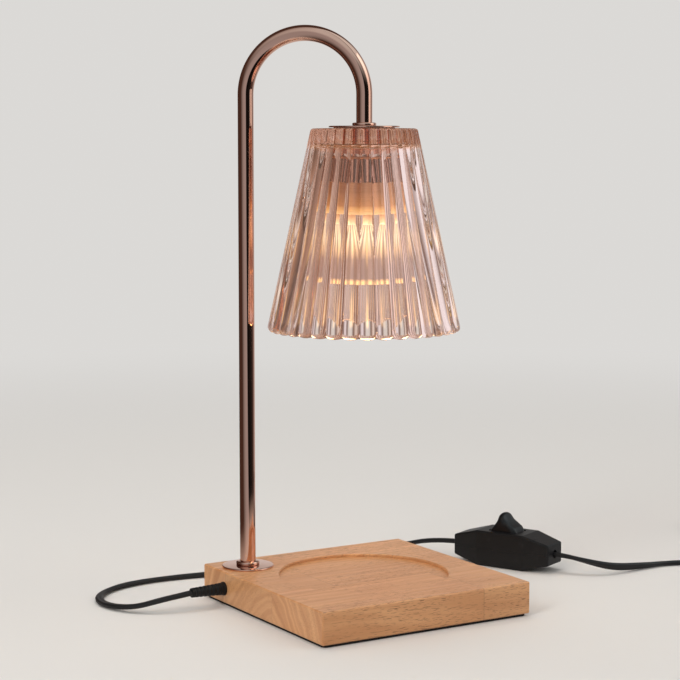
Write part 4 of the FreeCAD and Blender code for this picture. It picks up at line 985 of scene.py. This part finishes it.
class LAMP_OT_holder(bpy.types.Operator):
    """Round nut, cap, grip ring and heat sleeve of the lampholder, with its ceramic socket"""
    bl_idname = "lamp.holder"
    bl_label = "Lampholder"

    grooves = 36

    def execute(self, context):
        finishes = context.scene.lamp_finishes
        # the satin finish also carries the bulb's light painted as a glow on the sleeve and cap
        satin = satin_copper((0.80, 0.56, 0.38), finishes.glow, finishes.glow_strength, low("holder_sleeve"))
        self.make_cap(satin)
        self.make_grip_ring(knurled_copper((0.66, 0.49, 0.44), self.grooves))
        self.make_sleeve(satin)
        finish_nodes(rose_gold("rose_gold_holder", finishes.metal), "shade_nut")
        finish_nodes(glazed_ceramic(), "holder_body")
        return {"FINISHED"}

    def make_cap(self, metal):
        """Cup, open downwards, with a rounded shoulder."""
        top, bottom = high("holder_cap"), low("holder_cap")
        radius, wall = high("holder_cap", 0), 1.2 * MM
        bore = TUBE_RADIUS + FIT_GAP
        profile = closed_outline([
            (bore, top),
            (bore, top - wall),
            (radius - wall, top - wall, 1.2 * MM),
            (radius - wall, bottom),
            (radius, bottom),
            (radius, top, 2.2 * MM),
        ], 4 * MM, steps=7)
        Form().grid(turned(profile), along=True).piece(
            "spun_cap", metal, "rose_gold", replaces=["holder_cap"], sharp=50)

    def make_grip_ring(self, metal):
        """Ring with grooves: each is a narrow bell across its share, deepest midway between two lands."""
        top, bottom = high("grip_ring"), low("grip_ring")
        radius, bore = high("grip_ring", 0), high("holder_cap", 0) + 0.1 * MM
        profile = closed_outline([
            (bore, top),
            (bore, bottom),
            (radius, bottom, 0.7 * MM),
            (radius, top, 0.7 * MM),
        ], 3 * MM)
        weight = outward(profile)
        depth, breadth = 0.85 * MM, 0.42

        def valley(share, radius, height):
            groove = depth * np.exp(-((1 - np.abs(share)) / breadth) ** 4) * weight
            return groove, 0 * groove

        Form().grid(grooved(profile, self.grooves, valley, samples=14), along=True).piece(
            "knurled_ring", metal, "rose_gold", replaces=["grip_ring"], sharp=50)

    def make_sleeve(self, metal):
        """Open sleeve with a rolled bead round its lower edge."""
        top, bottom = high("holder_sleeve"), low("holder_sleeve")
        radius, bore = high("holder_sleeve", 0), high("holder_cap", 0) + 0.1 * MM
        bead, wall = radius + 0.4 * MM, radius - 0.1 * MM
        bead_top, wall_foot = bottom + 1.5 * MM, bottom + 2.2 * MM
        profile = closed_outline([
            (bore, top),
            (bore, bottom, 0.3 * MM),
            (bead, bottom, 0.6 * MM),
            (bead, bead_top, 0.6 * MM),
            (wall, wall_foot, 0.3 * MM),
            (wall, top),
        ], 3 * MM)
        Form().grid(turned(profile), along=True).piece(
            "heat_sleeve", metal, "rose_gold", replaces=["holder_sleeve"], sharp=50)


# Small metal parts

class LAMP_OT_hardware(bpy.types.Operator):
    """Nuts, screws, washer and spacers, the contacts of holder and switch, and the bulb's pins"""
    bl_idname = "lamp.hardware"
    bl_label = "Nuts, Screws and Contacts"

    def execute(self, context):
        finish_nodes(plain_metal("contact_brass", (0.74, 0.55, 0.26), 0.28),
                     "holder_contacts", "contact_bridge", "switch_contacts")
        finish_nodes(plain_metal("zinc_plating", (0.60, 0.61, 0.62), 0.32), "tube_washer", "tube_nut",
                     "holder_locknut", "holder_spacers", "holder_screws", "rocker_pin", "switch_screws")
        finish_nodes(nickel("nickel_plating"), "bulb_pins")
        return {"FINISHED"}


# Bulb

class LAMP_OT_bulb(bpy.types.Operator):
    """Lit reflector bulb: bowed glass bowl with a faceted inside, front lens, capsule and filament"""
    bl_idname = "lamp.bulb"
    bl_label = "Bulb"

    ceramic_share = 0.6
    lens_share = 3
    filament_share = 12

    def execute(self, context):
        """Each part glows with its own share of the bulb's strength."""
        glow, strength = context.scene.lamp_finishes.glow, context.scene.lamp_finishes.glow_strength
        self.make_reflector(lit_reflector(glow, low("bulb_reflector"), high("bulb_reflector"), strength))
        # the ceramic base gets the bulb's light painted on as a glow
        ceramic = lit_ceramic(glow, low("bulb_base"), high("bulb_base"), strength * self.ceramic_share)
        finish_nodes(ceramic, "bulb_base")
        finish_nodes(lit_lens(glow, high("bulb_lens", 0), strength * self.lens_share), "bulb_lens")
        finish_nodes(clear_glass("capsule_glass", (0.99, 0.98, 0.96)), "bulb_capsule")
        self.make_filament(glowing("hot_filament", (1.0, 0.72, 0.40), strength * self.filament_share))
        return {"FINISHED"}

    def make_reflector(self, finish):
        """Bowl: its wall bows out from the chord between neck and rim by 4 t (1 - t) times the arc's rise.

        The inside carries flat facets: its radius follows the chords of equal flats round the axis.
        """
        top, bottom = high("bulb_reflector"), low("bulb_reflector")
        neck, rim, wall, lip, bow = 11.6 * MM, 25 * MM, 1.3 * MM, 3.2 * MM, 3.62 * MM
        share = np.linspace(0, 1, 25)[:, None]
        start, end = np.array([neck, top]), np.array([rim, bottom + lip])
        chord = end - start
        normal = np.array([-chord[1], chord[0]]) / np.hypot(*chord)
        outside = start + chord * share + normal * bow * 4 * share * (1 - share)
        edge = rounded([outside[-1], (rim, bottom, 0.5 * MM), (rim - wall, bottom, 0.4 * MM),
                        outside[-1] - (wall, 0)])[1:-1]
        profile = np.vstack([outside, edge, (outside - (wall, 0))[::-1]])
        steps = 4
        surface = turned(profile, segments=steps * BULB_FACETS)
        inside = len(outside) + len(edge)
        along_flat = (np.arange(steps * BULB_FACETS) % steps / steps - 0.5) * TURN / BULB_FACETS
        surface[inside:, :, :2] *= (math.cos(TURN / 2 / BULB_FACETS) / np.cos(along_flat))[:, None]
        Form().grid(surface, along=True).piece(
            "lit_bowl", finish, "reflector_glass", body="bulb", replaces=["bulb_reflector"], sharp=30)

    def make_filament(self, finish):
        """Upright helix in the capsule: x = r cos, y = r sin, z rises evenly with the angle."""
        turns, radius, length, wire = 10, 0.9 * MM, 8 * MM, 0.16 * MM
        angle = np.linspace(0, turns * TURN, 160)
        height = middle("bulb_capsule")[2] + length * (angle / angle[-1] - 0.5)
        path = np.stack([radius * np.cos(angle), radius * np.sin(angle), height], -1)
        side = np.stack([np.cos(angle), np.sin(angle), 0 * angle], -1)
        Form().grid(carried(path, circle(wire, 8), side), caps=(True, True)).piece(
            "filament", finish, "bulb_glass", body="bulb")


# Switch

SWITCH_TURN = math.radians(114.65)
SWITCH_ALONG = np.array([math.cos(SWITCH_TURN), math.sin(SWITCH_TURN), 0])
SWITCH_ACROSS = np.array([-math.sin(SWITCH_TURN), math.cos(SWITCH_TURN), 0])
HINGE_DEPTH = 4.2 * MM


class LAMP_OT_switch(bpy.types.Operator):
    """Rocker switch in the lead: two shells with the clamps between them, and a rocker with a tall ridge"""
    bl_idname = "lamp.switch"
    bl_label = "Switch"

    def execute(self, context):
        settings = context.scene.lamp_switch
        black = context.scene.lamp_finishes.plastic
        shell = moulded_plastic("switch_shell_plastic", black)
        finish_nodes(shell, "switch_base", "switch_cover", "cord_clamps")
        rocker = moulded_plastic("rocker_plastic", black, roughness=0.3)
        Form().grid(self.rocker_surface(settings), caps=(True, True)).piece(
            "ridged_rocker", rocker, "black_plastic", body="rocker", replaces=["switch_rocker"], sharp=42)
        return {"FINISHED"}

    def rocker_outline(self, settings):
        """Side outline about the pin, the radius of its round ends, and the height where its flanks end.

        The flanks sink by 4 t (1 - t) times their hollow between the end and the ridge, and the ridge's top
        is part of an ellipse.
        """
        half, low_end, top = settings.rocker_length / 2, -5.4 * MM, HINGE_DEPTH + 1.8 * MM
        ridge, peak = 2.1 * MM, HINGE_DEPTH + settings.rocker_peak - 0.8 * MM
        tip_radius, tip_flatness, tip_depth, tip_start = 2.25 * MM, 0.75, 0.9 * MM, math.radians(22)
        radius = math.hypot(half, HINGE_DEPTH)
        end = np.linspace(math.asin(low_end / radius), math.asin(top / radius), 9)
        arc = radius * np.stack([np.cos(end), np.sin(end)], -1)
        chord = (ridge, peak) - arc[-1]
        inwards = np.array([-chord[1], chord[0]]) / np.hypot(*chord)
        share = np.linspace(0, 1, 12)[1:-1, None]
        flank = arc[-1] + chord * share + inwards * settings.rocker_hollow * 4 * share * (1 - share)
        crown = np.linspace(tip_start, TURN / 4, 6)[:, None]
        tip = np.hstack([np.cos(crown), tip_flatness * np.sin(crown)]) * tip_radius + (0, peak - tip_depth)
        right = np.vstack([arc, flank, tip])
        return np.vstack([right, (right * (-1, 1))[-2::-1]]), radius, peak

    def rocker_surface(self, settings):
        """Side outline carried across the rocker's width, drawn in towards both sides.

        Over the last stretch of the width the outline narrows by a quarter circle, in plan and at its edge,
        and the ridge falls off by a quarter ellipse, whose share grows smoothly with the height.
        """
        outline, radius, peak = self.rocker_outline(settings)
        width, tilt = settings.rocker_width / 2, math.radians(8)
        corner, edge, shoulder, drop = 4.2 * MM, 0.8 * MM, 7.6 * MM, 6.2 * MM
        falls_above = HINGE_DEPTH + 3 * MM
        half = np.cos(np.linspace(0.25, 0, 13) * TURN) * shoulder + (width - shoulder)
        across = np.concatenate([-half[::-1], half])

        def past(stretch):
            """How far each row lies in the last stretch of the width."""
            return np.clip(np.abs(across) - (width - stretch), 0, stretch)[:, None]

        plan = 1 - (corner - np.sqrt(corner ** 2 - past(corner) ** 2)) / radius
        lowering = edge - np.sqrt(edge ** 2 - past(edge) ** 2)
        falling = drop - drop * np.sqrt(1 - (past(shoulder) / shoulder) ** 2)
        height = outline[:, 1]
        along = outline[:, 0] * plan
        upright = height - lowering * np.sign(height) - falling * smooth(height, falls_above, peak)
        turned_along = along * math.cos(tilt) + upright * math.sin(tilt)
        turned_up = upright * math.cos(tilt) - along * math.sin(tilt)
        pin = np.append(middle("rocker_pin")[:2], high("switch_cover") - HINGE_DEPTH)
        return (pin + turned_along[..., None] * SWITCH_ALONG + across[:, None, None] * SWITCH_ACROSS
                + turned_up[..., None] * np.array([0, 0, 1]))


# Strain reliefs and plug

def grip_boot(start, axis, corners, grooved_from, grooved_to):
    """Tapered strain relief: a turned outline whose boot has shallow round grooves at equal distances.

    Between the two heights the radius loses the depth times the eighth power of the cosine of the groove's
    phase.
    """
    grooves, depth, longest = 6, 0.45 * MM, 0.35 * MM
    profile = subdivided(rounded(corners), longest)
    phase = np.clip((profile[:, 1] - grooved_from) / (grooved_to - grooved_from), 0, 1)
    inside = (phase > 0) & (phase < 1)
    profile[:, 0] -= inside * depth * np.cos(phase * grooves * math.pi) ** 8
    return Form().grid(turned(profile, start, axis, segments=48), caps=(True, True))


class LAMP_OT_fittings(bpy.types.Operator):
    """Bushing in the base, and the plug with its pins, strain relief and the coil's tie"""
    bl_idname = "lamp.fittings"
    bl_label = "Bushing and Plug"

    def execute(self, context):
        black = context.scene.lamp_finishes.plastic
        rubber = moulded_plastic("soft_black_boot", black, roughness=0.5)
        bushing = middle("cord_bushing")
        grip_boot((low("wood_base", 0), bushing[1], bushing[2]), (-1, 0, 0), [
            (3.4 * MM, -7.6 * MM),
            (3.4 * MM, 0),
            (4.3 * MM, 0, 0.3 * MM),
            (4.3 * MM, 1.4 * MM, 0.5 * MM),
            (3.9 * MM, 1.4 * MM),
            (3.9 * MM, 3 * MM, 0.5 * MM),
            (3.0 * MM, 23.4 * MM, 0.5 * MM),
            (2.7 * MM, 23.4 * MM),
        ], grooved_from=4 * MM, grooved_to=21 * MM).piece(
            "base_bushing", rubber, "black_plastic", replaces=["cord_bushing"])
        boot = middle("plug_boot")
        grip_boot((boot[0], high("plug_boot", 1), boot[2]), (0, -1, 0), [
            (3.9 * MM, 0),
            (3.9 * MM, 2 * MM, 0.5 * MM),
            (3.0 * MM, 22 * MM, 0.5 * MM),
            (2.7 * MM, 22 * MM),
        ], grooved_from=2.5 * MM, grooved_to=20 * MM).piece(
            "plug_relief", rubber, "black_plastic", replaces=["plug_boot"])
        finish_nodes(moulded_plastic("plug_plastic", black), "plug_body")
        finish_nodes(soft_foam("black_tie_foam", (0.015, 0.015, 0.016)), "cord_tie")
        self.make_pins(context)
        return {"FINISHED"}

    def make_pins(self, context):
        """Round pins with a domed tip, and an insulating sleeve over the first part of each."""
        face = high("plug_body", 1)
        length, sleeve_length, half_apart = high("plug_pins", 1) - face, 10 * MM, 9.3 * MM
        foot, radius, tip, sleeve_radius, sleeve_end = 1.75 * MM, 1.9 * MM, 0.6 * MM, 2 * MM, 1.7 * MM
        rod = rounded([(foot, 0), (radius, length / 2), (radius, length, 1.0 * MM), (tip, length)])
        sleeve = rounded([(sleeve_radius, 0), (sleeve_radius, sleeve_length, 0.15 * MM),
                          (sleeve_end, sleeve_length)])
        centre = middle("plug_pins")
        rods, sleeves = Form(), Form()
        for side in (-half_apart, half_apart):
            start = (centre[0] + side, face, centre[2])
            rods.grid(turned(rod, start, (0, 1, 0), segments=32), caps=(True, True))
            sleeves.grid(turned(sleeve, start, (0, 1, 0), segments=32), caps=(True, True))
        rods.piece("pin_rods", nickel("pin_nickel"), "nickel_pins", replaces=["plug_pins"])
        black = moulded_plastic("pin_sleeve_plastic", context.scene.lamp_finishes.plastic, roughness=0.35)
        sleeves.piece("pin_sleeves", black, "black_plastic")


# Lead

SWITCH_ROUTE = [
    (-98.4, 47.0, 11.0),
    (-117.0, 49.0, 8.6),
    (-134.0, 59.5, 4.2),
    (-143.5, 82.0, 2.6),
    (-136.0, 107.0, 2.6),
    (-113.0, 123.5, 2.6),
    (-79.0, 128.5, 2.6),
    (-37.0, 121.0, 2.6),
    (8.0, 119.0, 2.6),
    (50.0, 127.5, 2.6),
    (85.0, 138.5, 2.6),
    (108.0, 126.5, 4.2),
    (124.48, 95.78, 12.3),
    (136.16, 70.33, 12.3),
]
PLUG_ROUTE = [
    (157.84, 23.07, 12.3),
    (165.4, 6.7, 12.3),
    (177.0, -8.6, 8.8),
    (194.0, -14.2, 4.6),
    (216.0, -12.8, 2.7),
    (243.0, -10.5, 2.6),
    (275.0, -31.5, 2.6),
    (303.3, -54.6, 3.4),
]
COIL_TAIL = [
    (360.2, -14.5, 6.85),
    (360.2, -2.3, 6.85),
    (360.2, 10.7, 6.85),
]
COIL_CENTRE = np.array([326.4, -27.0])
COIL_RADII = (33.8, 23.4)
COIL_START = math.radians(-110)
COIL_TURNS_PER_LAYER = 3
TURN_POINTS = 16


def coil_points():
    """Control points of the coil in millimetres: a layer of turns going inwards, and one above it outwards.

    The radius falls evenly by one width a turn and grows again after the hop; the last stretch swings to the
    coil's +X side, where the lead leaves along +Y to the plug.
    """
    last_swing, lower_layer, layer_height, hop = 110 / 360, 3.2, 3.0, (0.97, 1.05)
    per_layer = COIL_TURNS_PER_LAYER * TURN_POINTS
    steps = np.arange(2 * per_layer + int(TURN_POINTS * last_swing) + 1)
    angle = COIL_START + steps * TURN / TURN_POINTS
    share = np.clip(steps / per_layer, 0, 2)
    outer, inner = COIL_RADII
    radius = np.where(share < 1, outer + (inner - outer) * share, inner + (outer - inner) * (share - 1))
    height = lower_layer + layer_height * smooth(share, *hop)
    x, y = COIL_CENTRE
    return np.stack([x + radius * np.cos(angle), y + radius * np.sin(angle), height], -1)


def nurbs_line(points):
    """Points in metres read from the smooth spline whose control points are given in millimetres."""
    curve = bpy.data.curves.new("route", "CURVE")
    curve.dimensions = "3D"
    spline = curve.splines.new("NURBS")
    spline.points.add(len(points) - 1)
    flat = np.hstack([np.array(points, float) * MM, np.ones((len(points), 1))])
    spline.points.foreach_set("co", flat.ravel())
    spline.order_u = 3
    spline.use_endpoint_u = True
    spline.resolution_u = 8
    item = bpy.data.objects.new("route", curve)
    bpy.context.scene.collection.objects.link(item)
    mesh = bpy.data.meshes.new_from_object(item)
    line = np.empty(len(mesh.vertices) * 3)
    mesh.vertices.foreach_get("co", line)
    bpy.data.objects.remove(item)
    bpy.data.curves.remove(curve)
    bpy.data.meshes.remove(mesh)
    return line.reshape(-1, 3)


def twin_section(width, thickness):
    """Outline of a flat twin lead: a flattened oval with a shallow groove along the middle of both faces.

    x = half width * cos and y = half thickness * sin, each made fuller by a power below 1, and y is less
    near the middle by a bell of x.
    """
    end_power, face_power, groove_depth, groove_width = 0.85, 0.7, 0.22, 0.13 * width
    angles = np.linspace(0, TURN, 28, endpoint=False)
    across, upward = np.cos(angles), np.sin(angles)
    x = width / 2 * np.sign(across) * np.abs(across) ** end_power
    groove = 1 - groove_depth * np.exp(-(x / groove_width) ** 2)
    y = thickness / 2 * np.sign(upward) * np.abs(upward) ** face_power * groove
    return np.stack([x, y], -1)


def twin_lead(line, roll, settings):
    """Flat lead along a line. roll turns its width up from the floor, and the line drops until it lies there.

    A rolled oval stands on the floor at sqrt((half width sin roll)^2 + (half thickness cos roll)^2).
    """
    lying, lifted, spare = 4 * MM, 9 * MM, 0.15 * MM
    half_width, half_thickness = settings.width / 2, settings.thickness / 2
    rest = np.hypot(half_width * np.sin(roll), half_thickness * np.cos(roll))
    drop = (half_width - rest - spare) * (1 - smooth(line[:, 2], lying, lifted))
    line = line - drop[:, None] * (0, 0, 1)
    tangent = directions(line)
    level = np.cross(tangent, (0, 0, 1.0))
    level /= np.linalg.norm(level, axis=1, keepdims=True)
    upward = np.cross(level, tangent)
    side = level * np.cos(roll)[:, None] + upward * np.sin(roll)[:, None]
    section = twin_section(settings.width, settings.thickness)
    return Form().grid(carried(line, section, side), caps=(True, True)), line


def travelled(line):
    """Distance along a line, at each of its points."""
    steps = np.linalg.norm(np.diff(line, axis=0), axis=1)
    return np.concatenate([[0], np.cumsum(steps)])


class LAMP_OT_lead(bpy.types.Operator):
    """Flat mains lead from the base to the switch, and from the switch through its coil to the plug"""
    bl_idname = "lamp.lead"
    bl_label = "Lead"

    def execute(self, context):
        """Each lead rolls about its line: the first sways along its middle, the second turns up once."""
        settings = context.scene.lamp_lead
        finish = jacket("lead_jacket", context.scene.lamp_finishes.plastic)
        line = nurbs_line(SWITCH_ROUTE)
        distance = travelled(line)
        sway, sway_length, starts, ends = 0.5, 0.055, (0.05, 0.12), (0.29, 0.34)
        roll = sway * np.sin(distance / sway_length) * smooth(distance, *starts)
        roll *= 1 - smooth(distance, *ends)
        form, line = twin_lead(line, roll, settings)
        piece = form.piece("lead_to_switch", finish, "cord_black", replaces=["cord_to_switch"])

        line = nurbs_line(np.vstack([PLUG_ROUTE, coil_points(), COIL_TAIL]))
        twist, twist_place, twist_length = 1.25, 0.062, 0.03
        roll = twist * np.exp(-((travelled(line) - twist_place) / twist_length) ** 2)
        form, line = twin_lead(line, roll, settings)
        piece = form.piece("lead_to_plug", finish, "cord_black",
                           replaces=["cord_to_plug", "cord_coil", "plug_lead"])
        return {"FINISHED"}


OPERATORS = [LAMP_OT_stage, LAMP_OT_base, LAMP_OT_pole, LAMP_OT_shade, LAMP_OT_holder, LAMP_OT_hardware,
             LAMP_OT_bulb, LAMP_OT_switch, LAMP_OT_fittings, LAMP_OT_lead]


class LAMP_PT_sidebar(bpy.types.Panel):
    """Lists the lamp's pieces and settings"""
    bl_idname = "LAMP_PT_sidebar"
    bl_label = "Candle Warmer Lamp"
    bl_space_type = "VIEW_3D"
    bl_region_type = "UI"
    bl_category = "Lamp"

    def draw(self, context):
        for operator in OPERATORS:
            self.layout.operator(operator.bl_idname)
        for group_name in GROUPS:
            group = getattr(context.scene, group_name)
            for name in group.bl_rna.properties.keys()[1:]:
                self.layout.prop(group, name)


GROUPS = {"lamp_finishes": LampFinishes, "lamp_shade": LampShade, "lamp_switch": LampSwitch,
          "lamp_lead": LampLead}
CLASSES = [*GROUPS.values(), *OPERATORS, LAMP_PT_sidebar]


def register():
    for kind in CLASSES:
        bpy.utils.register_class(kind)
    for name, group in GROUPS.items():
        setattr(bpy.types.Scene, name, PointerProperty(type=group))


def unregister():
    for name in GROUPS:
        delattr(bpy.types.Scene, name)
    for kind in reversed(CLASSES):
        bpy.utils.unregister_class(kind)


def main():
    register()
    for operator in OPERATORS:
        group, name = operator.bl_idname.split(".")
        getattr(getattr(bpy.ops, group), name)()


if __name__ == "__main__":
    main()
